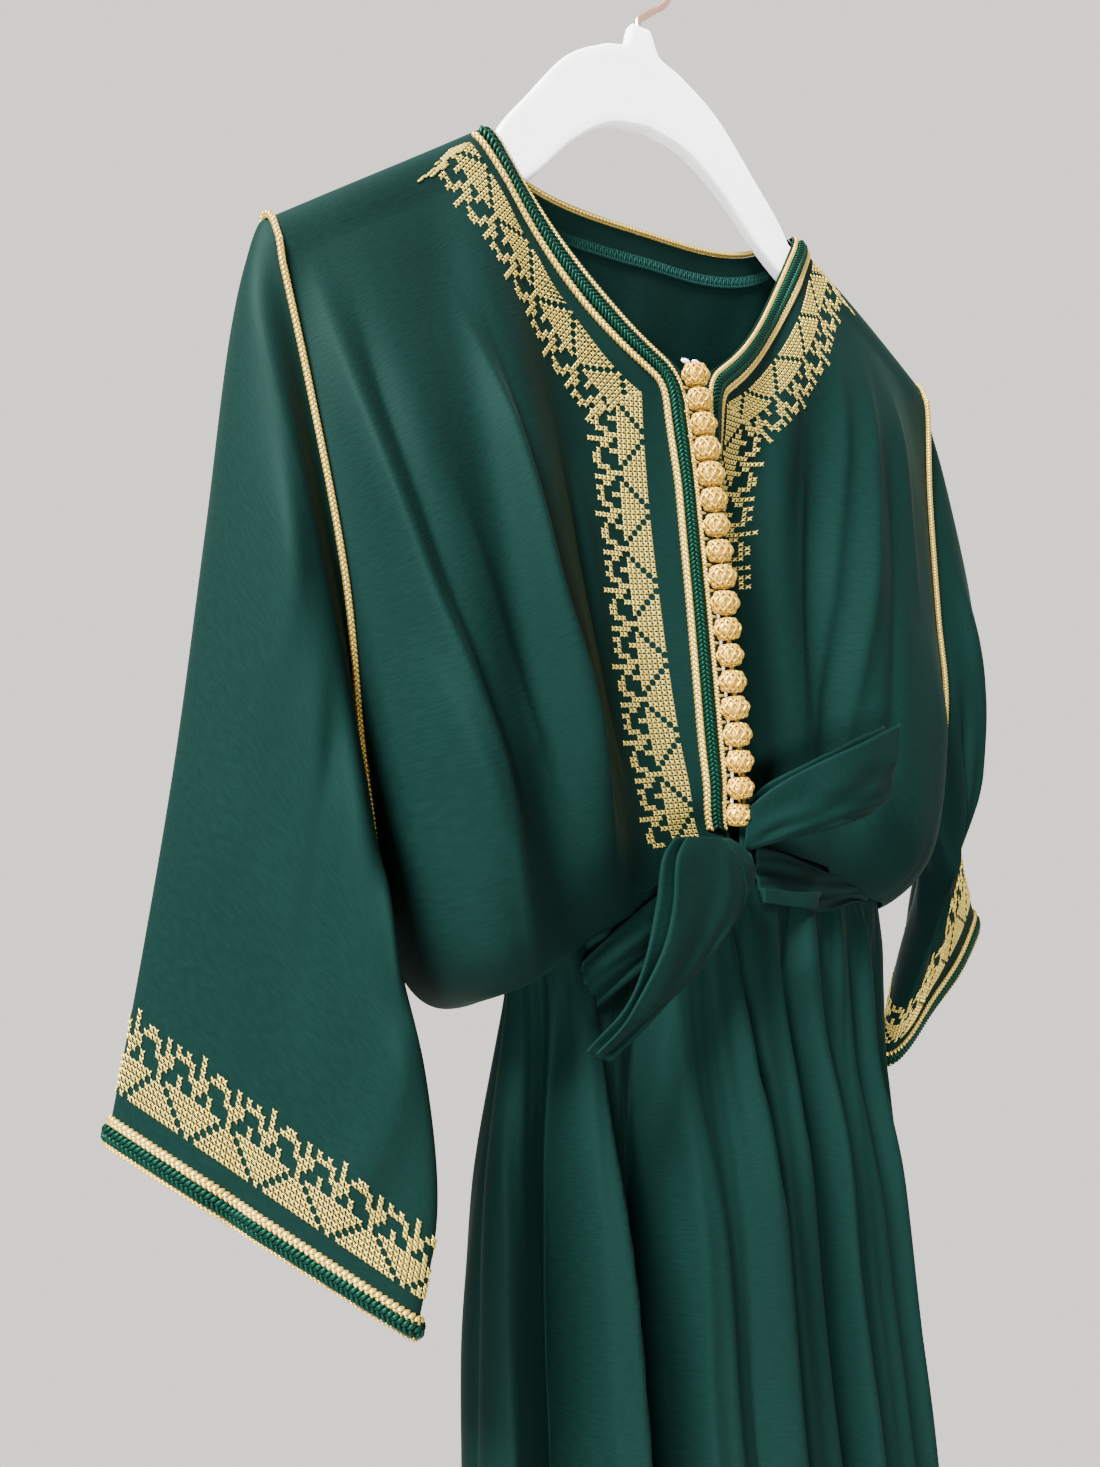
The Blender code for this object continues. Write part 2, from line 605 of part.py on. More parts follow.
# ----------------------------------------------------------------- belt
def waist_depth(x):
    return WAIST_FRONT * math.sqrt(1.0 - (x / WAIST_HALF_WIDTH) ** 2)


def belt(side):
    """The belt's end on one side, lying over the seam of the waist."""
    def point(u, v):
        share = v if side > 0 else 1.0 - v
        x = BELT_ENDS[0] + (BELT_ENDS[1] - BELT_ENDS[0]) * share
        below = BELT_BELOW_WAIST[0] + (BELT_BELOW_WAIST[1] - BELT_BELOW_WAIST[0]) * share ** 2
        depth = waist_depth(x) + BELT_FORWARD + BELT_FOLD_DEPTH * math.sin(BELT_FOLDS * math.pi * u)
        height = waist_line(x) - below + BELT_HALF_HEIGHT * (2.0 * u - 1.0)
        return Vector((side * x, -depth, NECK_HEIGHT + height))
    return point


def ribbon(table):
    """The surface of a ribbon of the bow, flat or folded lengthwise in a U."""
    rows = {k / (len(table) - 1): row for k, row in enumerate(table)}

    def point(u, v):
        open_x, open_z, fold_x, fold_z, y, gap = row_at(rows, v)
        share = math.sin(math.pi * u) if gap > 0.0 else u
        first = Vector((open_x, y - gap * math.cos(math.pi * u), NECK_HEIGHT + open_z))
        return first + Vector((fold_x - open_x, 0.0, fold_z - open_z)) * share
    return point


def build_belt():
    cloth("belt_right", belt(-1), BELT_GRID)
    cloth("belt_left", belt(1), BELT_GRID)
    cloth("bow_right", ribbon(BOW_RIGHT), BOW_GRID)
    cloth("bow_left", ribbon(BOW_LEFT), BOW_GRID)
    cloth("bow_tail", ribbon(BOW_TAIL), TAIL_GRID)
    x, y, z = KNOT_PLACE
    bpy.ops.mesh.primitive_uv_sphere_add(segments=12, ring_count=8, location=(x, y, NECK_HEIGHT + z))
    adopt("bow_knot", "cloth", KNOT_HALF_SIZE)


def adopt(name, kind, scale):
    """Size the primitive just made, name it and give it its material."""
    made = bpy.context.object
    made.name = name
    made.scale = scale
    bpy.ops.object.transform_apply(location=False, rotation=False, scale=True)
    made.data.shade_smooth()
    made.data.materials.append(material(kind))
    for home in list(made.users_collection):
        home.objects.unlink(made)
    KAFTAN.objects.link(made)


# ----------------------------------------------------------------- trims
def neck_path(side, place):
    """The edge that the trim follows: down the neckline and the front edge."""
    start = NECK_HALF_WIDTH - TRIM_START
    neck_length = NECK_STRETCH * start
    run = place * (neck_length + FRONT_TRIM_END - NECK_FRONT_DROP)
    if run < neck_length:
        x = start + (PLACKET_HALF_GAP - start) * run / neck_length
        return side * x, top_line(x, FRONT_NECK)
    corner = top_line(PLACKET_HALF_GAP, FRONT_NECK)
    share = (run - neck_length) / (FRONT_TRIM_END - NECK_FRONT_DROP)
    return side * PLACKET_HALF_GAP, corner + (-FRONT_TRIM_END - corner) * share


def trim(side, tree):
    """The surface of a front's trim, laid on the panel along its edge."""
    def path(place):
        reach = min(TRIM_SOFTEN, place, 1.0 - place)
        steps = range(-TRIM_SOFTEN_STEPS, TRIM_SOFTEN_STEPS + 1)
        near = [neck_path(side, place + reach * k / TRIM_SOFTEN_STEPS) for k in steps]
        return sum((Vector((x, 0.0, z)) for x, z in near), Vector()) / len(near)

    def point(u, v):
        along = (1.0 - v) ** TRIM_CROWDING
        ahead = path(min(along + PATH_STEP, 1.0)) - path(max(along - PATH_STEP, 0.0))
        inward = ahead.cross(Vector((0.0, side, 0.0))).normalized()
        width = TRIM_WIDTH * (u if side > 0 else 1.0 - u) + EDGE_SETBACK
        place = path(along) + inward * width
        start = Vector((place.x, -1.0, NECK_HEIGHT + place.z))
        hit, normal, _, _ = tree.ray_cast(start, Vector((0.0, 1.0, 0.0)))
        if hit is None:
            start.y = -SHOULDER_ROUND
            hit, normal, _, _ = tree.find_nearest(start)
        if normal.y > 0.0:
            normal.negate()
        rounded = clamp(1.0 - along / TRIM_ROUNDED)
        lift = TRIM_LIFT + TRIM_EXTRA_LIFT * rounded
        return hit + normal * (CLOTH_WALL / 2 + lift + TRIM_THICKNESS / 2)
    return point


def build_trims():
    for side, word in ((-1, "right"), (1, "left")):
        mesh = bpy.data.objects["front_" + word].data
        tree = BVHTree.FromPolygons(
            [v.co for v in mesh.vertices], [list(p.vertices) for p in mesh.polygons]
        )
        cloth("trim_" + word, trim(side, tree), TRIM_GRID, kind="braid", wall=TRIM_THICKNESS)
    tube("neck_cord_back", neck_cord(), NECK_CORD_RADIUS, "gold", sides=1)


def neck_cord():
    """The points of the cord along the back's neckline."""
    edge = []
    for k in range(-NECK_CORD_STEPS, NECK_CORD_STEPS + 1):
        across = NECK_CORD_REACH * abs(k) / NECK_CORD_STEPS
        x, depth, height = panel_point(across, 0.0, BACK_TABLES, BACK_NECK)
        edge.append(Vector((math.copysign(x, k), depth, NECK_HEIGHT + height)))
    points = []
    for k, place in enumerate(edge):
        ahead = edge[min(k + 1, len(edge) - 1)] - edge[max(k - 1, 0)]
        points.append(place + ahead.cross(Vector((0.0, 1.0, 0.0))).normalized() * NECK_CORD_LIFT)
    return points


def cuff_trim(side):
    """The surface of a cuff's trim, a ring laid on the sleeve at its hem."""
    surface = SLEEVES[side]

    def point(u, v):
        up = CUFF_TRIM_SHARE * v
        here = surface(u, up)
        along = surface((u + PATH_STEP) % 1.0, up) - surface((u - PATH_STEP) % 1.0, up)
        rise = surface(u, up + PATH_STEP) - here
        normal = along.cross(rise).normalized()
        ring = [surface(k / RING_SAMPLES, up) for k in range(RING_SAMPLES)]
        middle = sum(ring, Vector()) / RING_SAMPLES
        if normal.dot(here - middle) < 0.0:
            normal.negate()
        return here + normal * (CLOTH_WALL / 2 + TRIM_LIFT + CUFF_TRIM_THICKNESS / 2)
    return point


def piping(side):
    """The points of the cord over an armhole's seam: up the back, down the front."""
    points = []
    for k in range(-PIPING_STEPS, PIPING_STEPS + 1):
        around = 0.5 * PIPING_END * abs(k) / PIPING_STEPS
        step = 0.5 / PIPING_STEPS * (-1.0 if k < 0 else 1.0)
        around = around if k >= 0 else 1.0 - around
        place = armhole(side, around)
        ahead = armhole(side, (around + step) % 1.0) - place
        if k == 0:
            ahead = Vector((0.0, -1.0, 0.0))
        away = Vector((1.0, 0.0, 0.0)).cross(ahead).normalized()
        away = away if k < 0 else -away
        if k == 0:
            away = Vector((0.0, 0.0, 1.0))
        share = abs(k) / PIPING_STEPS
        lift = PIPING_LIFT[0] + (PIPING_LIFT[1] - PIPING_LIFT[0]) * share
        lean = PIPING_LEAN[0] + (PIPING_LEAN[1] - PIPING_LEAN[0]) * share
        points.append(place + away * lift + Vector((side * lean, 0.0, 0.0)))
    return points


def build_cords():
    for side, word in ((-1, "right"), (1, "left")):
        ring = cuff_trim(side)
        cloth("cuff_trim_" + word, ring, CUFF_TRIM_GRID, True, "braid", CUFF_TRIM_THICKNESS)
        tube("piping_" + word, piping(side), PIPING_RADIUS, "gold", sides=1)


def build_buttons():
    for k in range(BUTTON_COUNT):
        drop = FIRST_BUTTON_DROP + BUTTON_PITCH * k
        depth = panel_point(0.0, button_share(drop), FRONT_TABLES[-1], FRONT_NECK)[1]
        place = (0.0, -depth - BUTTON_FORWARD, NECK_HEIGHT - drop)
        bpy.ops.mesh.primitive_uv_sphere_add(segments=8, ring_count=6, radius=0.5, location=place)
        adopt("button_%02d" % (k + 1), "button", BUTTON_SIZE)


def button_share(drop):
    """How far down the front edge a height below the neck points lies."""
    corner = -top_line(PLACKET_HALF_GAP, FRONT_NECK)
    return clamp((drop - corner) / (WAIST_DROP - corner))


# ---------------------------------------------------------------- hanger
def hanger_face(u, v):
    """The flat middle of the hanger's body, between its two outlines."""
    last = len(HANGER_STEPS) - 1
    x = HANGER_STEPS[round(abs(2.0 * u - 1.0) * last)]
    bottom = through(list(HANGER_BOTTOM), list(HANGER_BOTTOM.values()), x)
    neck = list(HANGER_TOP)
    if x > neck[-1]:
        near = clamp(1.0 - (x - neck[-1]) / HANGER_EASE)
        top = shoulder_line(x) - HANGER_CLEARANCE - HANGER_DIP * near
    else:
        top = through(neck, list(HANGER_TOP.values()), x)
    height = bottom + (top - bottom) * v
    return Vector((math.copysign(x, u - 0.5), 0.0, NECK_HEIGHT + height))


def build_hanger():
    grid = (2 * len(HANGER_STEPS) - 2, 1)
    body = cloth("hanger_body", hanger_face, grid, kind="flock", wall=HANGER_THICKNESS)
    rounding = body.modifiers.new("rounding", "BEVEL")
    rounding.width = HANGER_EDGE_ROUND
    rounding.segments = 1
    rounding.limit_method = "ANGLE"
    rounding.angle_limit = math.radians(60)
    base = NECK_HEIGHT + HANGER_NUB_TOP + SEAM_GAP
    radius = HOOK_INNER_RADIUS + HOOK_WIRE_RADIUS
    points = [Vector((0.0, 0.0, base)), Vector((0.0, 0.0, base + HOOK_STEM))]
    for k in range(HOOK_STEPS + 1):
        angle = math.radians(HOOK_ARC[0] + (HOOK_ARC[1] - HOOK_ARC[0]) * k / HOOK_STEPS)
        place = Vector((math.cos(angle), 0.0, math.sin(angle))) * radius
        points.append(place + Vector((0.0, 0.0, -HOOK_INNER_RADIUS)))
    tube("hanger_hook", points, HOOK_WIRE_RADIUS, "metal")


def main():
    build_bodice()
    build_sleeves()
    build_skirt()
    build_belt()
    build_trims()
    build_cords()
    build_buttons()
    build_hanger()


unlink_all()
FRONT_TABLES = {
    -1: (RIGHT_ACROSS, RIGHT_FORWARD, BLOUSE_DROP),
    1: (LEFT_ACROSS, LEFT_FORWARD, BLOUSE_DROP),
}
BACK_TABLES = (BACK_ACROSS, BACK_BACKWARD, BACK_BLOUSE_DROP)
FRONTS = {side: front(side) for side in (-1, 1)}
SLEEVES = {side: sleeve(side) for side in (-1, 1)}
KAFTAN = collection("moroccan_kaftan")
main()
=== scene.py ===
"""Dress a child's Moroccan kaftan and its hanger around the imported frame.

The cloth, cords, embroidery, buttons and hanger are made from the same named
sizes and sections as the solids, with finer folds, stitches and thread.  The
wearer's right is at -X, the front looks along -Y and +Z is up, in metres.
A table inside mm() or folds() is written in millimetres.
"""

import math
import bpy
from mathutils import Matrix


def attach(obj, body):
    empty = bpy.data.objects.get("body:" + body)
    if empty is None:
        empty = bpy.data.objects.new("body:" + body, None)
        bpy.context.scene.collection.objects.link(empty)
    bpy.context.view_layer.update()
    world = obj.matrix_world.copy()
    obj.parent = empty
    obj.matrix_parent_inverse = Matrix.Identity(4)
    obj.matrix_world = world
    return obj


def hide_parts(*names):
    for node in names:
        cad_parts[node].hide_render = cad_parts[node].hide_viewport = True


bl_info = {
    "name": "Moroccan kaftan",
    "version": (1, 0, 0),
    "blender": (4, 5, 0),
    "location": "View3D > Sidebar > Kaftan",
    "description": "Builds the cloth, cords, embroidery, buttons and hanger of a child's kaftan",
    "category": "Object",
}

from bisect import bisect_right
from functools import cache

import bmesh
import bpy
import numpy as np
from bpy.props import FloatProperty, FloatVectorProperty, PointerProperty
from mathutils import Matrix, Vector, noise
from mathutils.bvhtree import BVHTree

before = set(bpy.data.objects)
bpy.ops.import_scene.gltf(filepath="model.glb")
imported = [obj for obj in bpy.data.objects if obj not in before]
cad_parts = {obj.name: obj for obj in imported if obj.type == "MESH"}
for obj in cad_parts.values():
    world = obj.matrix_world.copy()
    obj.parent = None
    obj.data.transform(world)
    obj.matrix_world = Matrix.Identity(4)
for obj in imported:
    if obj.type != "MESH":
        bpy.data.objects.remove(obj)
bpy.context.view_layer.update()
SIDE = Vector((1.0, 0.0, 0.0))
OUT = Vector((0.0, -1.0, 0.0))      # towards the front
BACK = Vector((0.0, 1.0, 0.0))
UP = Vector((0.0, 0.0, 1.0))


def mm(table, keys=False):
    """Turn a table from millimetres to metres, and its keys too where asked."""
    if isinstance(table, dict):
        return {(key / 1000 if keys else key): mm(row, keys) for key, row in table.items()}
    if isinstance(table, tuple):
        return tuple(mm(row, keys) for row in table)
    return table / 1000


def folds(rows):
    """Turn rows of folds to metres; their last column is a share and stays."""
    return [(*mm(row[:-1]), row[-1]) for row in rows]


# ------------------------------------------------------- sizes of the kaftan
NECK_HEIGHT = -0.118            # the neck points, below the top of the hook
NECK_HALF_WIDTH = 0.080
NECK_FRONT_DROP = 0.080
NECK_BACK_DROP = 0.015
FRONT_NECK_POWER = 1.6          # how round the front neckline is
NECK_CORNER_ROUND = 0.0035      # the height cut off the corner at the front edge
NECK_CORNER_REACH = 0.008
BACK_NECK_POWER = 4.0
FRONT_NECK = (NECK_FRONT_DROP, FRONT_NECK_POWER)
BACK_NECK = (NECK_BACK_DROP, BACK_NECK_POWER)
SHOULDER_HALF_WIDTH = 0.164
SHOULDER_DROP = 0.055
SHOULDER_ROUND = 0.005          # radius of the cloth where it lies over the hanger
PLACKET_HALF_GAP = 0.0048       # half the gap that the buttons bridge
WAIST_HALF_WIDTH = 0.098
WAIST_DROP = 0.262
WAIST_SAG = 0.031               # how much lower the waist is at the side seams
WAIST_POWER = 1.3
WAIST_FRONT = 0.017
UNDERARM = 0.82                 # how far down the side edge the armhole ends
SIDE_TURN = (0.55, 0.80)        # where the sides begin and end to turn to the seam
SHOULDER_ROUND_END = 0.045      # how far down a panel its rounded shoulder ends
ROUND_RELEASE = 0.85            # where that rounding fades, towards the waist and the side
BLOUSE_START = 0.75
BLOUSE_POWER = 0.8              # how full the blousing is
HEM_DROP = 0.780
EDGE_CROWDING = 1.4
MERGE_DISTANCE = 0.00002
SEAM_OVERLAP = 0.0002           # how far a sleeve starts under its armhole's seam

TRIM_START = 0.0012             # how far short of the neck points the trims start
TRIM_SOFTEN = 0.04              # the share of its length that rounds a trim's corner
TRIM_SOFTEN_STEPS = 4
NECK_STRETCH = 1.35             # the neckline's length for its width
EDGE_SETBACK = 0.0007
FRONT_TRIM_END = 0.2560
BUTTON_COUNT = 18
BUTTON_PITCH = 0.00985
BUTTON_SIZE = (0.0128, 0.0096, 0.0100)
FIRST_BUTTON_DROP = 0.083
BUTTON_FORWARD = 0.0042
BUTTON_ASIDE = -0.0030
PIPING_END = 0.82               # the share of the armhole that its cord follows

HANGER_CLEARANCE = 0.0017
HANGER_DIP = 0.0048
HANGER_EASE = 0.0100
HANGER_NUB_TOP = 0.067
HOOK_INNER_RADIUS = 0.020
HANGER_THICKNESS = 0.005
HANGER_ROUNDING = 0.0021
ROUNDING_SEGMENTS = 4
HANGER_GRID = (140, 6)
HANGER_CROWDING = 1.5           # draws its columns together towards its nub
HOOK_SUNK = 0.004               # how deep the wire sits in the nub
HOOK_STEM = 0.004
HOOK_WIRE = 0.0015              # the wire's radius
WIRE_SIDES, WIRE_STEP = 16, 0.0012
HOOK_ARC = (-60, 205)           # degrees round the hook's circle
HOOK_STEPS = 48

# ------------------------------------------------- sections of the bodice
# One row for each section down the panel, from its top edge at 0 to the waist
# at 1.  The columns are places across it, from the front edge to the armhole:
# front edge, trim, embroidery, valley, inner fold, dip, outer fold, armhole.
RIGHT_ACROSS = mm({
    0.00: (4.8, 15, 37, 62, 89, 112, 140, 164),
    0.20: (4.8, 15, 36, 62, 92, 110, 136, 157.5),
    0.45: (4.8, 14, 33, 58, 88, 105, 128, 151.5),
    0.68: (4.8, 14, 32, 52, 79, 98, 121, 148),
    0.82: (4.8, 14, 32, 49, 72, 92, 116, 140),
    0.92: (4.8, 14, 31, 46, 65, 85, 106, 124),
    1.00: (4.8, 13, 28, 43, 57, 70, 84, 98),
})
RIGHT_FORWARD = mm({
    0.00: (9, 8, 6, 1.5, 0, 0, 0, 0),
    0.20: (12, 8, 3, 3, 10, 7.5, 11.5, 2.5),
    0.45: (13.5, 8, 0, 0, 22, 16, 24, 6),
    0.68: (14, 8, 0, 1, 26, 19, 29, 4),
    0.82: (14, 8.5, 2, 4, 24, 20, 30, 0),
    0.92: (14, 10.5, 6, 8, 20, 19, 25, 0),
    1.00: (17, 16.8, 16.3, 15.3, 13.8, 11.9, 8.8, 0),
})
LEFT_ACROSS = {**RIGHT_ACROSS, **mm({
    0.20: (4.8, 15, 36, 55, 80, 106, 134, 157.5),
    0.45: (4.8, 14, 33, 48, 68, 95, 125, 151.5),
    0.68: (4.8, 14, 32, 46, 63, 88, 119, 148),
    0.82: (4.8, 14, 32, 46, 62, 83, 110, 133),
    0.92: (4.8, 14, 31, 45, 60, 79, 97, 113),
})}
LEFT_FORWARD = {**RIGHT_FORWARD, **mm({
    0.20: (12, 8, 3, 7, 6, 11, 9, 0),
    0.45: (13.5, 8, 1, 9, 5, 17, 14, 2),
    0.68: (14, 8, 1, 10, 5, 19, 19, 3),
    0.82: (14, 8.5, 3.5, 10.5, 8.5, 17, 19, 0),
    0.92: (14, 10.5, 8, 12.5, 12.5, 15.5, 16, 0),
})}
# How far each place hangs below the waist seam where the bodice blouses over.
BLOUSE_DROP = mm((0, 0, 1, 4, 9, 14, 22, 26))
LEFT_BLOUSE_DROP = mm((0, 0, 1, 3, 6, 9, 13, 13))
# The back: centre back, inner fold, dip, outer fold, side, armhole.
BACK_ACROSS = mm({
    0.00: (0, 30, 60, 90, 130, 164),
    0.20: (0, 31, 61, 90, 127, 157.5),
    0.45: (0, 29, 57, 86, 121, 151.5),
    0.68: (0, 26, 52, 80, 117, 148),
    0.82: (0, 24, 48, 75, 112, 140),
    0.92: (0, 22, 44, 69, 103, 124),
    1.00: (0, 20, 40, 60, 80, 98),
})
BACK_BACKWARD = mm({
    0.00: (3.5, 3.5, 2.5, 0, 0, 0),
    0.20: (11, 14, 10, 11, 8, 2.5),
    0.45: (18, 24, 17, 24, 16, 6),
    0.68: (20, 27, 20, 28, 20, 4),
    0.82: (20, 26, 20, 27, 21, 0),
    0.92: (21, 24, 20, 24, 18, 0),
    1.00: (20, 19.6, 18.3, 15.8, 11.6, 0),
})
BACK_BLOUSE_DROP = mm((4, 7, 7, 12, 20, 26))
FRONT_TABLES = {
    -1: (RIGHT_ACROSS, RIGHT_FORWARD, BLOUSE_DROP),
    1: (LEFT_ACROSS, LEFT_FORWARD, LEFT_BLOUSE_DROP),
}
LEFT_BACK_BLOUSE_DROP = mm((4, 7, 7, 9, 11, 13))
LEFT_BACK_ACROSS = {**BACK_ACROSS, **mm({
    0.82: (0, 24, 48, 74, 107, 133),
    0.92: (0, 22, 44, 68, 94, 113),
})}
BACK_TABLES = {
    -1: (BACK_ACROSS, BACK_BACKWARD, BACK_BLOUSE_DROP),
    1: (LEFT_BACK_ACROSS, BACK_BACKWARD, LEFT_BACK_BLOUSE_DROP),
}

# ------------------------------------------------- sections of the sleeves
# One row for each section from the armhole to the cuff.  Columns: the outer
# end of the flattened section (x, y, z) and its inner end (x, y, z), both
# below the neck points, then how far its front and its back layer bulge.
RIGHT_SLEEVE = mm({
    0.00: (164, 0, -55, 140, 0, -262, 6, 6),
    0.15: (173, 4, -82, 148, -9, -274, 18, 14),
    0.35: (183, 12, -146, 152, -27, -288, 17, 14),
    0.60: (195, 24, -226, 149, -35, -313, 13, 11),
    0.80: (205, 33, -282, 147, -33, -350, 9, 8),
    1.00: (215, 40, -331, 152, -24, -386, 6, 6),
})
LEFT_SLEEVE = mm({
    0.00: (164, 0, -55, 140, 0, -262, 1, 6),
    0.15: (174, 1, -86, 147, 1, -272, 10, 16),
    0.35: (188, 3, -150, 150, 2, -292, 12, 16),
    0.60: (190, 6, -212, 140, 6, -316, 10, 13),
    0.80: (175, 12, -268, 130, 16, -345, 10, 10),
    1.00: (195, 18, -321, 122, 26, -376, 8, 8),
})
SLEEVE_FULLNESS = 0.75          # how squarely its layers bulge
SLEEVE_JOIN = 0.16              # how far along the sleeve it leaves the armhole's form
SLEEVE_LEAVE = 0.006            # how far it runs on straight past the seam meanwhile
SLEEVE_CROWDING = 1.8           # draws its rows together towards the armhole
UNDERARM_CROWDING = 1.6         # draws its columns together towards the underarm
SLEEVE_OPEN = 0.0030            # keeps its two layers apart near the underarm
SLEEVE_OPEN_OVER = 0.015        # how far above the underarm it is open so far

# Half the skirt's width and its depth to the front and back, down its length.
SKIRT_SECTIONS = mm({
    0.00: (98, 17, 20),
    0.10: (103, 20, 24),
    0.35: (112, 25, 29),
    0.70: (126, 30, 34),
    1.00: (138, 33, 37),
})
CREST_POWER = 1.5               # how sharp the crests and troughs of the folds are
SKIRT_BACK = 0.008              # how far its lower part hangs further back
SKIRT_IN = 0.14                 # share by which its left half is narrower
SKIRT_ASIDE = -0.006            # how far it hangs towards the right
SKIRT_SETTLES = 0.15            # the share of its length over which it moves there
SKIRT_RELIEF = {-1: 1.95, 1: 1.45}# how far the folds of its front and back stand out
SKIRT_INSET = 0.0024            # the skirt's top lies inside the bodice's lower edge
SKIRT_SEAM_CALM = 0.35          # folds die out near the side seams
# One row for each fold of the skirt: its place across at the waist, at its
# middle and at the hem, its reach towards the right and the left, how far it
# stands out (a trough goes in), and how far down it has begun to form.
FRONT_FOLDS = folds((
    (-92, -106, -124, 11, 9, 5, 0.00),
    (-84, -86, -100, 7, 4.5, -9.5, 0.03),
    (-72, -67, -70, 15, 2.8, 10.5, 0.00),
    (-51, -50, -60, 5, 5, -11, 0.06),
    (-37, -37, -44, 5, 10, 4.5, 0.02),
    (-14, -9, -10, 19, 2.8, 11.5, 0.00),
    (-6, -2, -3, 3, 4, -6, 0.02),
    (11, 18, 21, 12, 4, 7.5, 0.00),
    (25, 30, 36, 4, 4, -7.5, 0.04),
    (37, 41, 50, 7, 3.5, 8.5, 0.02),
    (45, 49, 60, 3, 4, -6, 0.04),
    (57, 66, 80, 9, 5, 7, 0.03),
    (73, 82, 98, 6, 5, 8.5, 0.00),
    (81, 91, 108, 4, 5, -5, 0.03),
    (90, 104, 122, 8, 11, 5, 0.00),
    (-95, -101, -112, 2.2, 2.2, 1.6, 0.10),
    (-77, -75, -82, 2, 2.4, 1.3, 0.15),
    (-41, -30, -36, 2.4, 2.6, 1.6, 0.12),
    (-24, -21, -26, 2, 2.2, -1.2, 0.20),
    (3, 9, 10, 2, 2.4, 1.5, 0.08),
    (62, 60, 73, 2, 2, 1.4, 0.10),
))
BACK_FOLDS = folds((
    (-88, -102, -120, 11, 8, 6, 0.02),
    (-78, -91, -106, 6, 6, -6, 0.03),
    (-68, -78, -91, 6, 9, 10, 0.00),
    (-52, -60, -70, 8, 6, 9, 0.06),
    (-41, -49, -56, 6, 6, -8, 0.02),
    (-31, -38, -42, 6, 10, 11, 0.00),
    (-12, -17, -19, 10, 6, 10, 0.08),
    (-2, -4, -3, 6, 6, -8, 0.02),
    (8, 8, 11, 6, 9, 11, 0.00),
    (25, 28, 33, 8, 6, 8, 0.05),
    (35, 40, 47, 6, 6, -8, 0.02),
    (45, 52, 61, 6, 10, 10, 0.02),
    (62, 72, 84, 8, 6, 9, 0.06),
    (73, 85, 99, 6, 6, -7, 0.02),
    (84, 98, 114, 7, 11, 8, 0.00),
))
FOLD_FORMING = 0.30             # the share of the skirt over which a fold forms
SKIRT_MIDDLE = 0.26             # how far down the skirt its middle column holds

# Small creases.  One row each: its reach inwards and outwards, its height (a
# trough goes in), then where it runs: its distance from the middle line at
# each drop below the neck points.
RIGHT_CREASES = mm((
    (5, 20, 8.5, {60: 109, 77: 105, 107: 99, 139: 94, 173: 89, 201: 81, 231: 75, 275: 67}),
    (5.2, 15, 8.5, {50: 156, 75: 153, 103: 149, 128: 144, 152: 139, 175: 134, 201: 126,
                    227: 119, 285: 105}),
    (4, 6, 2, {60: 166, 90: 159, 110: 153, 133: 146, 170: 140}),
    (6, 5, -3.5, {60: 100, 115: 89, 165: 81, 199: 73, 250: 61}),
    (6, 5, -3.5, {70: 143, 115: 137, 165: 127, 199: 118, 260: 102}),
    (3, 5, 1.6, {36: 69, 55: 64, 68: 50, 90: 27}),
    (4, 10, 3, {95: 71, 130: 66, 163: 61, 199: 56, 262: 46}),
    (3, 6, 1.6, {130: 123, 170: 112, 205: 101, 250: 88}),
    (4, 8, 2.6, {180: 142, 215: 130, 245: 119, 290: 106}),
    (2.5, 5, 1.4, {120: 56, 165: 50, 215: 48}),
), keys=True)
LEFT_CREASES = mm((
    (8, 4, 3, {35: 96, 90: 87, 150: 74, 205: 60, 250: 52}),
    (10, 4.5, 3.6, {40: 109, 90: 103, 150: 90, 205: 74, 255: 64}),
    (5, 4, 1.8, {60: 127, 100: 125, 140: 122, 180: 118}),
    (5, 6, -2.6, {80: 115, 130: 108, 190: 95, 250: 84}),
    (6, 3, 1.6, {90: 66, 140: 60, 190: 53, 240: 48}),
    (20, 24, -15, {85: 24, 120: 25, 160: 27, 200: 29, 250: 30, 290: 30}),
), keys=True)
BACK_CREASES = mm((
    (5, 8, 2.2, {60: 86, 120: 78, 180: 68, 240: 56, 270: 50}),
    (4, 6, 1.8, {80: 135, 130: 127, 190: 115, 250: 96}),
    (5, 5, -1.6, {70: 56, 140: 52, 220: 42, 265: 38}),
    (4, 5, 1.3, {120: 18, 180: 22, 250: 16}),
), keys=True)

# ---------------------------------------------------------- the tied belt
# The bow's ribbons have a row for each section along them: one edge (x, z
# below the neck points), the other edge (x, z), the depth y, and half the gap
# between two folded layers.
BELT_ENDS = (0.0040, 0.0760)
BELT_HALF_HEIGHT = 0.0095
BELT_BELOW_WAIST = (0.0100, 0.0190)
BELT_FORWARD = 0.0028
BOW_RIGHT = mm((
    (-46, -255, -28, -257, -35, 2.8),
    (-53, -262, -20.5, -265, -35.8, 3.2),
    (-57, -277, -19, -278, -35.9, 3.3),
    (-64, -293, -31, -291, -36, 3),
    (-76, -308, -54, -306, -35, 2.6),
    (-90, -318, -83, -322, -34, 1.8),
))
BOW_LEFT = mm((
    (-2, -248.5, -4, -264, -21.5, 2),
    (10, -240, 8, -261.5, -27, 3),
    (29, -232, 27, -259, -34.5, 4),
    (49, -226, 46, -255.5, -37.5, 4.2),
    (69.5, -220.5, 63, -250, -37, 3.4),
))
BOW_TAIL = mm((
    (-8.5, -276.5, -8.5, -281.7, -34, 0),
    (8, -279.8, 7.5, -285.2, -35, 0),
    (19.5, -281, 17.5, -286.6, -34.5, 0),
    (26.5, -282, 22.5, -284.8, -31.5, 0),
))
KNOT_PLACE = (-0.0190, -0.0275, -0.2700)
KNOT_HALF_SIZE = (0.0130, 0.0060, 0.0120)
KNOT_SWELL, KNOT_SWELL_SCALE = 0.10, 2.6    # how uneven the knot is
KNOT_GRID = (32, 20)

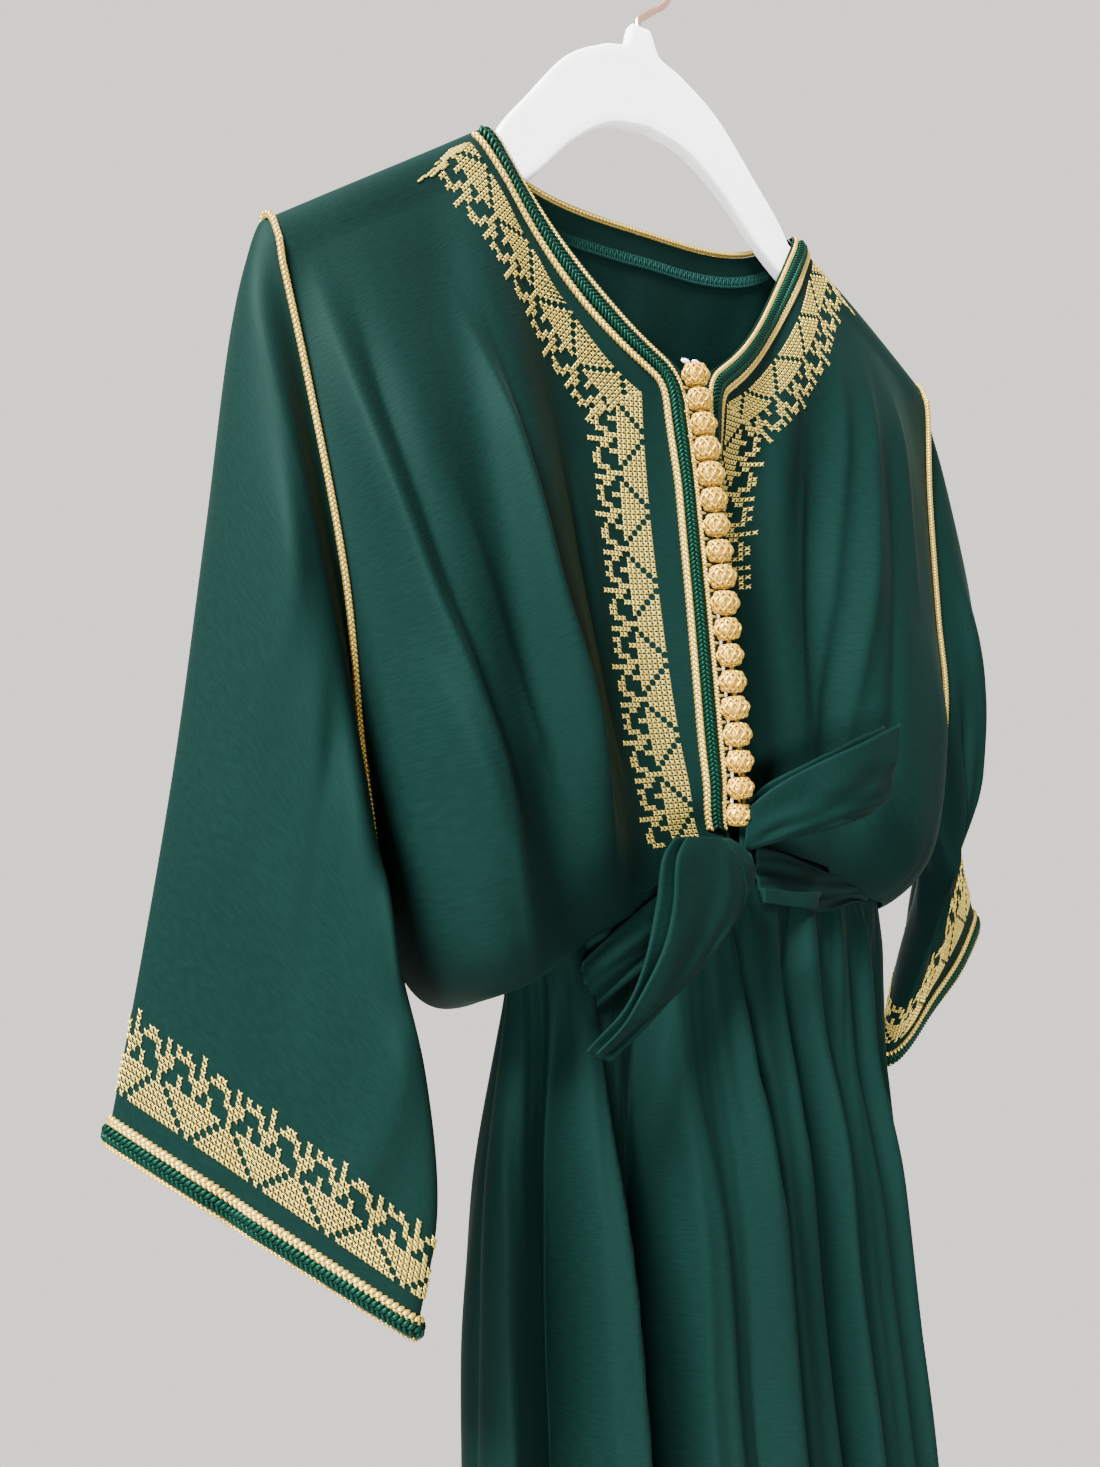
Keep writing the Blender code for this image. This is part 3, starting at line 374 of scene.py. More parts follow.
# ------------------------------------------------------------ the hanger
# Heights of the body's outlines above the neck points, at distances from its
# middle.  Outside the neck the upper one follows the cloth.
HANGER_TOP = mm(
    {0: 67, 5: 66.5, 6.6: 61, 9: 57, 20: 53, 40: 41, 60: 19, 72: 5, 78.5: -6}, keys=True)
HANGER_BOTTOM = mm({0: 24, 20: 20, 40: 7, 60: -12, 80: -26, 120: -45, 150: -57}, keys=True)
HANGER_END = 0.150

# -------------------------------------------------------- the embroidery
BORDER_FAR_DROP = 0.160         # below this the left border is its inner rows only
BORDER_NEARER = 0.0060          # how much nearer the left border lies,
BORDER_NEARS = (0.1, 0.3)       # from where on, and over what share of its path
BORDER_TOP_DROP = 0.0012        # how far below the shoulder seam it begins
# Where the border starts from the edge, along its path.
BORDER_BASE = mm({
    -0.05: 13.5, 0.20: 17.5, 0.38: 20, 0.55: 19, 0.80: 16, 1.05: 11.8,
})
BORDER_ENDS = (-0.05, 1.02)     # where it starts and ends along the edge's path
BORDER_ROW = 0.93               # the height of its rows for their width
BORDER_SHIFT = 3                # which stitch of the repeat the neck's run starts with
BORDER_FAR_ROWS = 6
BORDER_MITRE = 0.6              # how many stitches its two runs may overlap
BORDER_STEPS = 161
CUFF_BORDER_START = 0.0140      # how far above the hem the cuffs' border starts
CUFF_BORDER_LIFT = 0.0003
CUFF_BORDER_SHIFT = 10
# One repeat of the cross-stitch border.  Rows go outwards from the trim, and
# each mark is one stitch.
CHART = (
    "###########.#.",
    ".#########.###",
    "#.#######.####",
    "##.#####.#####",
    "###.###.######",
    "####.#.#######",
    ".#...#...#..#.",
    ".#...##..#..##",
    "#...####...###",
    "#...#.##...#.#",
    ".####.#.####.#",
    "..##..#.#.#..#",
    ".............#",
)

# ------------------------------------------------ cords round the openings
BACK_NECK_STEPS = 60
BACK_NECK_REACH = 0.515         # the share of the back's top edge that is its neckline
NECK_CORD_LIFT = 0.0008
NECK_CORD_WAY = Vector((0.0, -0.45, 1.0))
ARMHOLE_STEPS = 90
ARMHOLE_NUDGE = 0.002           # how far round the cord looks for its direction
ARMHOLE_TOP = 2                 # how many steps from the shoulder it faces up
ARMHOLE_LIFT = 0.0014
ARMHOLE_ASIDE = 0.0003
SERGE_STEPS = 90
SERGE_HALF_WIDTH = 0.074
SERGE_DROP = 0.0105             # how far below the neckline the inner seam runs
SERGE_PITCH = 0.00125
SERGE_LIFT = 0.0005
SERGE_BODY = (0.0017, 0.00015)
SERGE_EDGE = 0.0018             # how far its two edge plaits lie from its middle
SERGE_PLAIT = (0.0011, 0.0012, 0.0007)
RUNG_LENGTH, RUNG_UNEVEN, RUNG_LEAN = 0.0038, 0.0006, (-0.0004, 0.0008)
RUNG_THICK, RUNG_HIGH, RUNG_LIFT = 0.0008, 0.0010, 0.0004

# -------------------------------------------------------------- the stage
CAMERA_PLACE = (-0.293, -0.304, NECK_HEIGHT - 0.238)
CAMERA_TURN = (36.1, 3.3, -4.5)     # yaw, pitch and roll in degrees
SENSOR_HEIGHT = 24.0
LENS = SENSOR_HEIGHT * 1078.0 / 1467.0
ROOM_COLOUR = (0.83, 0.795, 0.735, 1.0)
ROOM_STRENGTH = 1.62
# Name, place, what it is turned to, size and power.
LAMPS = (
    ("window", (-1.5, -0.65, 1.6), (-0.02, 0.0, -0.42), 0.7, 800.0),
    ("low_window", (-1.25, -1.25, -0.85), (0.0, 0.0, -0.62), 0.4, 105.0),
    ("rear", (0.9, 1.7, 0.5), (-0.02, 0.0, -0.42), 1.2, 120.0),
)
FLOOR_HALF_SIZE = 0.62
FLOOR_HEIGHT = -1.35
FLOOR_COLOUR = (0.60, 0.575, 0.54)


# ------------------------------------------------------------- small tools
SIDES = ((-1, "right"), (1, "left"))
CREASE_FADE = 0.3               # the share of a crease over which it fades at each end
RIPPLE_SCALE = (38.0, 20.0, 14.0)   # how close the unevenness is along X, Y and Z


def clamp(value, low=0.0, high=1.0):
    return max(low, min(high, value))


def ease(value):
    """Go smoothly from 0 to 1 as value does."""
    value = clamp(value)
    return value * value * (3.0 - 2.0 * value)


def fade(share):
    """Rise from nothing at one end of a line and fall to nothing at the other."""
    return ease(share / CREASE_FADE) * ease((1.0 - share) / CREASE_FADE)


def through(knots, values, place):
    """Read a smooth curve that passes through a value at each knot."""
    last = len(knots) - 2
    i = int(clamp(bisect_right(knots, place) - 1, 0, last))
    span = knots[i + 1] - knots[i]
    part = (place - knots[i]) / span

    def slope(k):
        low, high = max(k - 1, 0), min(k + 1, last + 1)
        return (values[high] - values[low]) / (knots[high] - knots[low])

    square, cube = part * part, part ** 3
    return (
        (2 * cube - 3 * square + 1) * values[i]
        + (cube - 2 * square + part) * span * slope(i)
        + (3 * square - 2 * cube) * values[i + 1]
        + (cube - square) * span * slope(i + 1)
    )


def read(table, place):
    """Read a table of single values at one place."""
    return through(list(table), list(table.values()), place)


def read_rows(table, place):
    """Read every column of a table of rows at one place."""
    knots = list(table)
    return [through(knots, column, place) for column in zip(*table.values())]


def evenly(values, place):
    """Read values that are evenly spaced from 0 to 1."""
    return through([k / (len(values) - 1) for k in range(len(values))], values, place)


def quarter_sine(part):
    return math.sin(part * math.pi / 2)


def quarter_cosine(part):
    return 1.0 - math.cos(part * math.pi / 2)


def crowd(value):
    """Draw places together towards 0, so that an edge turns in small steps."""
    return value ** EDGE_CROWDING


def crest(off, reach):
    """The section of a fold or a crease, 1 at its crest."""
    return math.exp(-abs(off / reach) ** CREST_POWER)


def ripple(place, seed, size):
    """An uneven softness of the cloth, a few tenths of a millimetre."""
    spread = Vector([a * b for a, b in zip(place, RIPPLE_SCALE)])
    return size * noise.noise(spread + UP * seed)


def creased(rows, x, drop):
    """Sum the small creases at a distance from the middle line and a drop."""
    total = 0.0
    for inner, outer, height, line in rows:
        first, *_, last = line
        share = (drop - first) / (last - first)
        if 0.0 < share < 1.0:
            off = x - read(line, drop)
            total += height * fade(share) * crest(off, inner if off < 0.0 else outer)
    return total


# ---------------------------------------------------------------- bodice
TOP_CALM = 0.12                 # creases die out near the top edge,
WAIST_CALM = 0.10               # near the waist
ARMHOLE_CALM = 0.12             # and near the armhole
EDGE_CALM = 0.2                 # and the ripple near the front edge
FRONT_RIPPLE = 0.0016
BACK_RIPPLE = 0.0022
BACK_CREASE_SHIFT = 0.004       # how differently the back's two halves are creased


def section(table, across, down, turn=None):
    """Read a table of sections, turning the side edge towards its seam."""
    row = read_rows(table, down)
    spaces = len(row) - 1
    value = evenly(row, across)
    part = across * spaces - (spaces - 1)
    if turn is None or part <= 0.0:
        return value
    turned = row[-2] + (row[-1] - row[-2]) * turn(part)
    share = ease((down - SIDE_TURN[0]) / (SIDE_TURN[1] - SIDE_TURN[0]))
    return value + (turned - value) * share


def shoulder_line(x):
    part = (x - NECK_HALF_WIDTH) / (SHOULDER_HALF_WIDTH - NECK_HALF_WIDTH)
    return -SHOULDER_DROP * part


def top_line(x, neck):
    """The height of a panel's top edge: the neckline, then the shoulder."""
    neck_drop, power = neck
    if x > NECK_HALF_WIDTH:
        return shoulder_line(x)
    corner = clamp(1.0 - (x - PLACKET_HALF_GAP) / NECK_CORNER_REACH)
    cut = NECK_CORNER_ROUND * corner ** 2 if neck == FRONT_NECK else 0.0
    return -neck_drop * (1.0 - (x / NECK_HALF_WIDTH) ** power) - cut


def waist_line(x):
    return -WAIST_DROP - WAIST_SAG * (abs(x) / WAIST_HALF_WIDTH) ** WAIST_POWER


def panel_point(across, down, tables, neck):
    """A point of a bodice panel, as its half-width, depth and height."""
    widths, depths, drops = tables
    top_x = section(widths, across, 0.0)
    top = top_line(top_x, neck)
    low = waist_line(section(widths, across, 1.0))
    lying = clamp(1.0 + top / SHOULDER_ROUND) if top_x < NECK_HALF_WIDTH else 1.0
    turn = clamp(down / SHOULDER_ROUND_END)
    height = top + (low - top) * down * (1.0 + lying * (turn ** 2 - 1.0))
    height -= lying * SHOULDER_ROUND * quarter_cosine(turn)
    hang = (down - BLOUSE_START) / (1.0 - BLOUSE_START)
    if hang > 0.0:
        height -= evenly(drops, across) * math.sin(math.pi * hang) ** BLOUSE_POWER
    rounding = max(quarter_sine(turn), math.sqrt(1.0 - lying ** 2))
    to_waist = ease((down - ROUND_RELEASE) / (1.0 - ROUND_RELEASE))
    to_side = ease((across - ROUND_RELEASE) / (1.0 - ROUND_RELEASE))
    to_side *= ease((down - SIDE_TURN[0]) / (SIDE_TURN[1] - SIDE_TURN[0]))
    depth = max(section(depths, across, down, quarter_cosine), 0.0)
    depth += SHOULDER_ROUND * rounding * (1.0 - to_waist) * (1.0 - to_side)
    return section(widths, across, down, quarter_sine), depth, height


def still(across, down):
    """Where creases may move the cloth: not at its seams."""
    ends = ease(down / TOP_CALM) * ease((1.0 - down) / WAIST_CALM)
    return ends * ease((1.0 - across) / ARMHOLE_CALM)


def front(side):
    """The surface of the right (-1) or left (+1) front."""
    rows = RIGHT_CREASES if side < 0 else LEFT_CREASES

    def point(u, v):
        across = 1.0 - crowd(1.0 - (u if side > 0 else 1.0 - u))
        down = ease(1.0 - v)
        x, depth, height = panel_point(across, down, FRONT_TABLES[side], FRONT_NECK)
        free = still(across, down)
        depth += free * creased(rows, x, -height)
        place = Vector((side * x, -depth, NECK_HEIGHT + height))
        place.y -= free * ease(across / EDGE_CALM) * ripple(place, side * 7.0, FRONT_RIPPLE)
        return place
    return point


def back(u, v):
    """The surface of the back, from the left armhole to the right one."""
    side = 1.0 - 2.0 * u
    across = 1.0 - crowd(1.0 - abs(side))
    down = ease(1.0 - v)
    x, depth, height = panel_point(across, down, BACK_TABLES[-1 if side < 0.0 else 1], BACK_NECK)
    free = still(across, down)
    shift = BACK_CREASE_SHIFT if side > 0 else 0.0
    depth += free * creased(BACK_CREASES, x + shift, -height + 2.0 * shift)
    place = Vector((math.copysign(x, side), depth, NECK_HEIGHT + height))
    place.y += free * ripple(place, 3.0, BACK_RIPPLE)
    return place


# --------------------------------------------------------------- sleeves
SLEEVE_RIPPLE = 0.0016
SLEEVE_CALM = (0.08, 0.20)      # where its folds begin below the armhole, and over how much
SLEEVE_RELIEF = 1.5             # how much the sleeves' folds stand out
# One row each: on the front layer or not, its place across at its start and
# its end, its reach, its height, and where along the sleeve it runs.
SLEEVE_CREASES = {
    -1: (
        (True, 0.30, 0.22, 0.10, 0.0030, 0.10, 0.75),
        (True, 0.62, 0.55, 0.07, -0.0028, 0.15, 0.80),
        (True, 0.90, 0.86, 0.05, 0.0030, 0.15, 0.60),
        (True, 0.96, 0.70, 0.07, 0.0035, 0.55, 0.95),
        (True, 0.40, 0.45, 0.06, -0.0016, 0.60, 1.15),
        (False, 0.30, 0.25, 0.09, 0.0040, 0.10, 0.85),
        (False, 0.60, 0.66, 0.08, -0.0040, 0.15, 0.95),
        (False, 0.82, 0.75, 0.07, 0.0030, 0.20, 0.90),
    ),
    1: (
        (True, 0.35, 0.30, 0.10, 0.0030, 0.10, 0.80),
        (True, 0.60, 0.70, 0.08, -0.0035, 0.15, 0.80),
        (True, 0.80, 0.55, 0.06, 0.0030, 0.45, 0.95),
        (False, 0.30, 0.25, 0.09, 0.0040, 0.10, 0.85),
        (False, 0.62, 0.68, 0.08, -0.0040, 0.20, 0.95),
    ),
}


def armhole(side, around):
    """Where the sleeve starts round the armhole: down the front, up the back."""
    down = UNDERARM * (1.0 - abs(1.0 - 2.0 * around) ** UNDERARM_CROWDING)
    if around <= 0.5:
        x, depth, height = panel_point(1.0, down, FRONT_TABLES[side], FRONT_NECK)
        depth = -depth
    else:
        x, depth, height = panel_point(1.0, down, BACK_TABLES[side], BACK_NECK)
    turned = ease((down - SIDE_TURN[0]) / (UNDERARM - SIDE_TURN[0]))
    opened = SLEEVE_OPEN * turned * clamp((UNDERARM - down) / SLEEVE_OPEN_OVER)
    depth = depth + math.copysign(opened, depth) if around % 0.5 > 0.0 else 0.0
    return Vector((side * (x - SEAM_OVERLAP), depth, NECK_HEIGHT + height))


def sleeve_folds(side, way, along, front_layer):
    """Soft folds of a sleeve, by the place across it and along it."""
    total = 0.0
    for layer, centre, end, reach, height, start, stop in SLEEVE_CREASES[side]:
        share = (along - start) / (stop - start)
        if layer == front_layer and 0.0 < share < 1.0:
            off = way - (centre + (end - centre) * share)
            total += height * fade(share) * math.exp(-(off / reach) ** 2)
    return total


def sleeve(side):
    """The surface of a sleeve; v runs from the cuff at 0 to the armhole at 1."""
    table = RIGHT_SLEEVE if side < 0 else LEFT_SLEEVE

    def point(u, v):
        along = (1.0 - v) ** SLEEVE_CROWDING
        around = u if side < 0 else 1.0 - u
        row = read_rows(table, along)
        outer = Vector((side * row[0], row[1], NECK_HEIGHT + row[2]))
        inner = Vector((side * row[3], row[4], NECK_HEIGHT + row[5]))
        across = (inner - outer).normalized()
        facing = across.cross(OUT).cross(across).normalized()
        way = 1.0 - abs(1.0 - 2.0 * around) ** (1.0 + (UNDERARM_CROWDING - 1.0) * (1.0 - along))
        turn = math.pi * way
        front_layer = around <= 0.5
        bulge = row[6] if front_layer else -row[7]
        share = 0.5 - 0.5 * math.cos(turn) if way < 1.0 else 1.0
        place = outer.lerp(inner, share)
        if 0.0 < way < 1.0:
            place += facing * bulge * math.sin(turn) ** SLEEVE_FULLNESS
        free = math.sin(turn) * ease((along - SLEEVE_CALM[0]) / SLEEVE_CALM[1])
        fold = sleeve_folds(side, share, along, front_layer)
        fold += ripple(place, 11.0 * side, SLEEVE_RIPPLE)
        place += facing * (fold if front_layer else -fold) * free * SLEEVE_RELIEF
        start = armhole(side, around) + SIDE * side * SLEEVE_LEAVE * along / SLEEVE_JOIN
        return start.lerp(place, ease(along / SLEEVE_JOIN))
    return point


# ----------------------------------------------------------------- skirt
FOLD_WIDENS = 0.35              # how much wider a fold is at the hem
FOLD_EARLY = 0.06               # how far above its start a fold begins to show
FOLD_LIMIT = 3.0                # how many reaches away a fold still counts
FOLD_TOP = 0.05                 # folds grow over this share below the waist
# Uneven gathers under the waist: height, closeness, change down the skirt, seed.
GATHERS = ((0.0030, 150.0, 3.0, 0.0), (0.0012, 330.0, 5.0, 5.0))
GATHERS_START, GATHERS_END = 0.015, 0.30
SKIRT_BACK_BY = 0.4             # how far down it has gone back
SKIRT_RETURNS = 0.5             # share of its lean that the lower half takes back
SKIRT_RIPPLE = 0.0024
SKIRT_CALM = 0.2


def fold_height(rows, x, down):
    """How far the folds of a table stand out at one place of the skirt."""
    total = 0.0
    for top, middle, hem, right, left, height, start in rows:
        off = x - through((0.0, SKIRT_MIDDLE, 1.0), (top, middle, hem), down)
        reach = (right if off < 0.0 else left) * (1.0 + FOLD_WIDENS * down)
        if abs(off) < FOLD_LIMIT * reach:
            formed = ease((down + FOLD_EARLY - start) / FOLD_FORMING)
            total += height * crest(off, reach) * formed
    return total


def gathers(x, down, seed):
    """Small uneven gathers under the waist seam."""
    rise = 0.0
    for size, close, change, other in GATHERS:
        rise += size * noise.noise(Vector((x * close, seed + other, down * change)))
    return rise * (1.0 - ease(down / GATHERS_END)) * ease(down / GATHERS_START)


def skirt(facing):
    """The surface of the skirt's front (-1) or back (1)."""
    rows = FRONT_FOLDS if facing < 0 else BACK_FOLDS

    def point(u, v):
        down = crowd(1.0 - v)
        half, front_depth, back_depth = read_rows(SKIRT_SECTIONS, down)
        depth = front_depth if facing < 0 else back_depth
        angle = math.pi * (u if facing < 0 else 1.0 - u)
        aside, ahead = -math.cos(angle), facing * math.sin(angle)
        out = Vector((aside * depth, ahead * half, 0.0)).normalized()
        x = aside * (half - SKIRT_INSET)
        y = ahead * (depth - SKIRT_INSET) + SKIRT_BACK * ease(down / SKIRT_BACK_BY)
        free = clamp(math.sin(angle) / SKIRT_SEAM_CALM) ** 0.5
        top = NECK_HEIGHT + waist_line(x)
        height = top + (NECK_HEIGHT - HEM_DROP - top) * down
        lean = ease(down / SKIRT_SETTLES) * (1.0 - SKIRT_RETURNS * ease(2.0 * down - 1.0))
        hung = x * (1.0 - SKIRT_IN * lean) if x > 0.0 else x
        place = Vector((hung + SKIRT_ASIDE * lean, y, height))
        rise = SKIRT_RELIEF[facing] * fold_height(rows, x, down) * ease(down / FOLD_TOP)
        rise += gathers(x, down, facing)
        rise += ripple(place, 20.0 * facing, SKIRT_RIPPLE) * ease(down / SKIRT_CALM)
        return place + out * rise * free
    return point


# ----------------------------------------------------------------- belt
BELT_PLEATS = ((0.0010, 9.0, 4.0), (0.0006, 21.0, -6.0))    # height, waves across, along
BELT_TUCK_START = 0.35          # the left end tucks under from here on,
BELT_TUCK = (0.80, 0.70, 0.62)  # which takes this share of its depth, drop and height
RIBBON_RIPPLE = 0.0022
RIBBON_RIPPLE_SCALE = 1.6
RIBBON_LAYERS = 4.0             # how differently its two layers ripple
RIBBON_CALM = 0.2


def belt(side):
    """The belt's end on one side, lying over the seam of the waist."""
    def point(u, v):
        share = v if side > 0 else 1.0 - v
        x = BELT_ENDS[0] + (BELT_ENDS[1] - BELT_ENDS[0]) * share
        below = BELT_BELOW_WAIST[0] + (BELT_BELOW_WAIST[1] - BELT_BELOW_WAIST[0]) * share ** 2
        pleats = sum(size * math.sin(a * u + b * share) for size, a, b in BELT_PLEATS)
        under = ease((share - BELT_TUCK_START) / (1.0 - BELT_TUCK_START)) if side > 0 else 0.0
        nearer, higher, slimmer = (1.0 - part * under for part in BELT_TUCK)
        depth = WAIST_FRONT * math.sqrt(1.0 - (x / WAIST_HALF_WIDTH) ** 2)
        depth += BELT_FORWARD * nearer + pleats
        height = waist_line(x) - below * higher
        height += BELT_HALF_HEIGHT * slimmer * (2.0 * u - 1.0)
        return Vector((side * x, -depth, NECK_HEIGHT + height))
    return point


def ribbon(table, seed):
    """The surface of a ribbon of the bow, flat or folded lengthwise in a U."""
    rows = {k / (len(table) - 1): row for k, row in enumerate(table)}

    def point(u, v):
        open_x, open_z, fold_x, fold_z, y, gap = read_rows(rows, v)
        folded = gap > 0.0
        share = math.sin(math.pi * u) if folded else u
        layer = math.cos(math.pi * u)
        first = Vector((open_x, y - gap * layer, NECK_HEIGHT + open_z))
        place = first + Vector((fold_x - open_x, 0.0, fold_z - open_z)) * share
        seeded = seed + (RIBBON_LAYERS * layer if folded else 0.0)
        soft = ripple(place * RIBBON_RIPPLE_SCALE, seeded, RIBBON_RIPPLE)
        place.y += soft * ease(v / RIBBON_CALM) * (1.0 - 0.5 * share)
        return place
    return point


# -------------------------------------------------------------- materials
class Value:
    """A socket of a material's nodes; arithmetic on it adds Math nodes."""

    def __init__(self, shade, socket):
        self.shade = shade
        self.socket = socket

    def _math(self, operation, first, second=0.0):
        return self.shade.node("ShaderNodeMath", {"operation": operation}, {0: first, 1: second})

    def __add__(self, other):
        return self._math("ADD", self, other)

    def __mul__(self, other):
        return self._math("MULTIPLY", self, other)

    def __sub__(self, other):
        return self._math("SUBTRACT", self, other)

    def __rsub__(self, other):
        return self._math("SUBTRACT", other, self)

    __radd__ = __add__
    __rmul__ = __mul__

    def sine(self):
        return self._math("SINE", self)


class Shade:
    """A finish: a Principled material and the nodes that feed it."""

    def __init__(self, name, **constants):
        self.made = bpy.data.materials.new(name)
        self.made.use_nodes = True
        self.tree = self.made.node_tree
        self.shader = self.tree.nodes["Principled BSDF"]
        for socket, value in constants.items():
            self.set(socket.replace("_", " "), value)

    def feed(self, socket, value):
        if isinstance(value, Value):
            self.tree.links.new(value.socket, socket)
        elif isinstance(value, tuple) and len(value) == 3 and socket.type == "RGBA":
            socket.default_value = (*value, 1.0)
        else:
            socket.default_value = value

    def node(self, kind, settings=None, inputs=None, out=0):
        """Add a node: its settings first, then its sockets, and read one output."""
        made = self.tree.nodes.new(kind)
        for name, value in (settings or {}).items():
            if name == "stops":
                for element, (place, level) in zip(made.color_ramp.elements, value):
                    element.position = place
                    element.color = (level, level, level, 1.0)
            else:
                setattr(made, name, value)
        for key, value in (inputs or {}).items():
            self.feed(made.inputs[key], value)
        return Value(self, made.outputs[out])

    def on(self, source="UV"):
        """The piece's own UV map, or its Object coordinates."""
        return self.node("ShaderNodeTexCoord", out=source)

    def scaled(self, place, scale):
        return self.node("ShaderNodeMapping", None, {"Vector": place, "Scale": scale})

    def grain(self, place, scale=1.0, detail=2.0):
        """Uneven grey, from 0 to 1."""
        inputs = {"Vector": place, "Scale": scale, "Detail": detail}
        return self.node("ShaderNodeTexNoise", None, inputs)

    def axis(self, place, name):
        return self.node("ShaderNodeSeparateXYZ", None, {0: place}, out=name)

    def set(self, socket, value):
        self.feed(self.shader.inputs[socket], value)

    def tones(self, factor, colour, low, high):
        """Colour the finish with two tones of a colour."""
        settings = {"data_type": "RGBA", "clamp_factor": True}
        inputs = {0: factor, 6: tinted(colour, low), 7: tinted(colour, high)}
        self.set("Base Color", self.node("ShaderNodeMix", settings, inputs, out=2))

    def bump(self, height, strength, depth):
        inputs = {"Strength": strength, "Distance": depth, "Height": height}
        self.set("Normal", self.node("ShaderNodeBump", None, inputs))


def tinted(colour, factor):
    return tuple(clamp(c * factor) for c in colour)


def crepe(colour):
    """Crepe with a fine crosswise rib and a soft bloom."""
    shade = Shade("crepe", Specular_IOR_Level=0.035, Specular_Tint=(0.35, 0.90, 0.78),
                  Sheen_Weight=0.008, Sheen_Roughness=0.35, Sheen_Tint=(0.30, 0.95, 0.78))
    place = shade.on()
    rib = shade.grain(shade.scaled(place, (260.0, 1150.0, 1.0)), 1.0, 1.0)
    fine = shade.grain(shade.scaled(place, (900.0, 3100.0, 1.0)), 1.0, 0.0)
    broad = shade.grain(shade.on("Object"), 9.0, 3.0)
    shade.tones(0.80 * rib + 0.25 * fine + 0.45 * broad - 0.24, colour, 0.72, 1.34)
    shade.set("Roughness", 0.54 + 0.10 * broad + 0.08 * rib)
    shade.bump(rib + 0.5 * fine, 0.45, 0.00014)
    return shade.made


def thread(name, colour, metallic, roughness, strands=3.0):
    """Shiny twisted thread; its fine strands follow each stitch's own UV map."""
    shade = Shade(name, Metallic=metallic, Specular_IOR_Level=0.45 if metallic else 0.12,
                  Specular_Tint=tuple(c / max(colour) for c in colour))
    place = shade.on()
    around = shade.axis(place, "X")
    along = shade.axis(place, "Y")
    twist = (around * (math.tau * strands) + along * 9.0).sine() * 0.5 + 0.5
    uneven = shade.grain(shade.on("Object"), 420.0, 2.0)
    shade.tones(0.55 * twist + 0.7 * uneven - 0.12, colour, 0.62, 1.22)
    shade.set("Roughness", roughness + 0.18 * uneven)
    shade.bump(twist, 0.45, 0.00010)
    return shade.made


def flock(colour):
    """Short flock on plastic, rubbed a little grey."""
    shade = Shade("flock", Sheen_Weight=0.6, Sheen_Roughness=0.7, Specular_IOR_Level=0.2)
    place = shade.on("Object")
    fluff = shade.grain(place, 2600.0, 2.0)
    rubbed = shade.grain(shade.scaled(place, (14.0, 30.0, 24.0)), 1.0, 4.0)
    worn = shade.node("ShaderNodeValToRGB", {"stops": ((0.52, 0.0), (0.72, 1.0))}, {0: rubbed})
    shade.tones(0.75 * worn + 0.3 * fluff, colour, 1.0, 0.72)
    shade.set("Roughness", 0.88 + 0.1 * fluff)
    shade.bump(fluff + 0.6 * rubbed, 0.5, 0.0003)
    return shade.made


def polished(colour):
    """Plated wire with fine scratches along it."""
    shade = Shade("plated_wire", Metallic=1.0)
    scratch = shade.grain(shade.scaled(shade.on(), (900.0, 30.0, 1.0)), 1.0, 3.0)
    cloud = shade.grain(shade.on("Object"), 160.0, 3.0)
    shade.tones(0.5 * scratch + 0.5 * cloud, colour, 0.85, 1.08)
    shade.set("Roughness", 0.16 + 0.16 * scratch + 0.08 * cloud)
    shade.bump(scratch, 0.12, 0.00005)
    return shade.made


def painted(colour, roughness):
    """A plain painted surface with a faint unevenness."""
    shade = Shade("floor_paint", Specular_IOR_Level=0.2)
    uneven = shade.grain(shade.on("Object"), 3.0, 4.0)
    shade.tones(uneven, colour, 0.97, 1.03)
    shade.set("Roughness", roughness + 0.05 * uneven)
    return shade.made


TIE_WHITE = (0.60, 0.60, 0.58)
SERGE_LIGHTER = 2.0             # how much lighter the seam's thread is than the cloth


@cache
def finish_of(kind):
    """Make a finish once and share it between the pieces that have it."""
    look = bpy.context.scene.kaftan_look
    makers = {
        "cloth": lambda: crepe(tuple(look.cloth)),
        "gold": lambda: thread("gold_thread", tuple(look.gold), 0.60, 0.24),
        "cord": lambda: thread("gold_cord", tuple(look.cord), 0.60, 0.25),
        "button": lambda: thread("gold_silk", tuple(look.button), 0.60, 0.24),
        "braid": lambda: thread("green_braid", tuple(look.braid), 0.0, 0.34, 5.0),
        "serge": lambda: thread("green_thread", tinted(look.cloth, SERGE_LIGHTER), 0.0, 0.5),
        "white": lambda: thread("white_thread", TIE_WHITE, 0.0, 0.5),
        "flock": lambda: flock(tuple(look.flock)),
        "metal": lambda: polished(tuple(look.metal)),
    }
    return makers[kind]()


# ----------------------------------------------------------- making pieces
# Each sheet's grid, the size of its UV map, and the flat width, length and
# area of what shows of it.
CUTS = {
    "front": ((150, 130), (0.17, 0.27), (0.185, 0.290, 0.0430)),
    "back": ((150, 110), (0.34, 0.28), (0.370, 0.290, 0.0930)),
    "sleeve_right": ((130, 90), (0.34, 0.18), (0.450, 0.285, 0.0415)),
    "sleeve_left": ((130, 90), (0.34, 0.18), (0.400, 0.270, 0.0335)),
    "skirt_front": ((260, 84), (0.42, 0.50), (0.430, 0.520, 0.2220)),
    "skirt_back": ((260, 84), (0.42, 0.50), (0.360, 0.520, 0.1830)),
    "belt": ((16, 40), (0.019, 0.075), (0.022, 0.080, None)),
    "bow_right": ((56, 56), (0.07, 0.08), (0.078, 0.082, 0.0041)),
    "bow_left": ((56, 56), (0.09, 0.08), (0.082, 0.070, 0.0041)),
    "bow_tail": ((12, 30), (0.008, 0.033), (0.010, 0.036, 0.0002)),
}
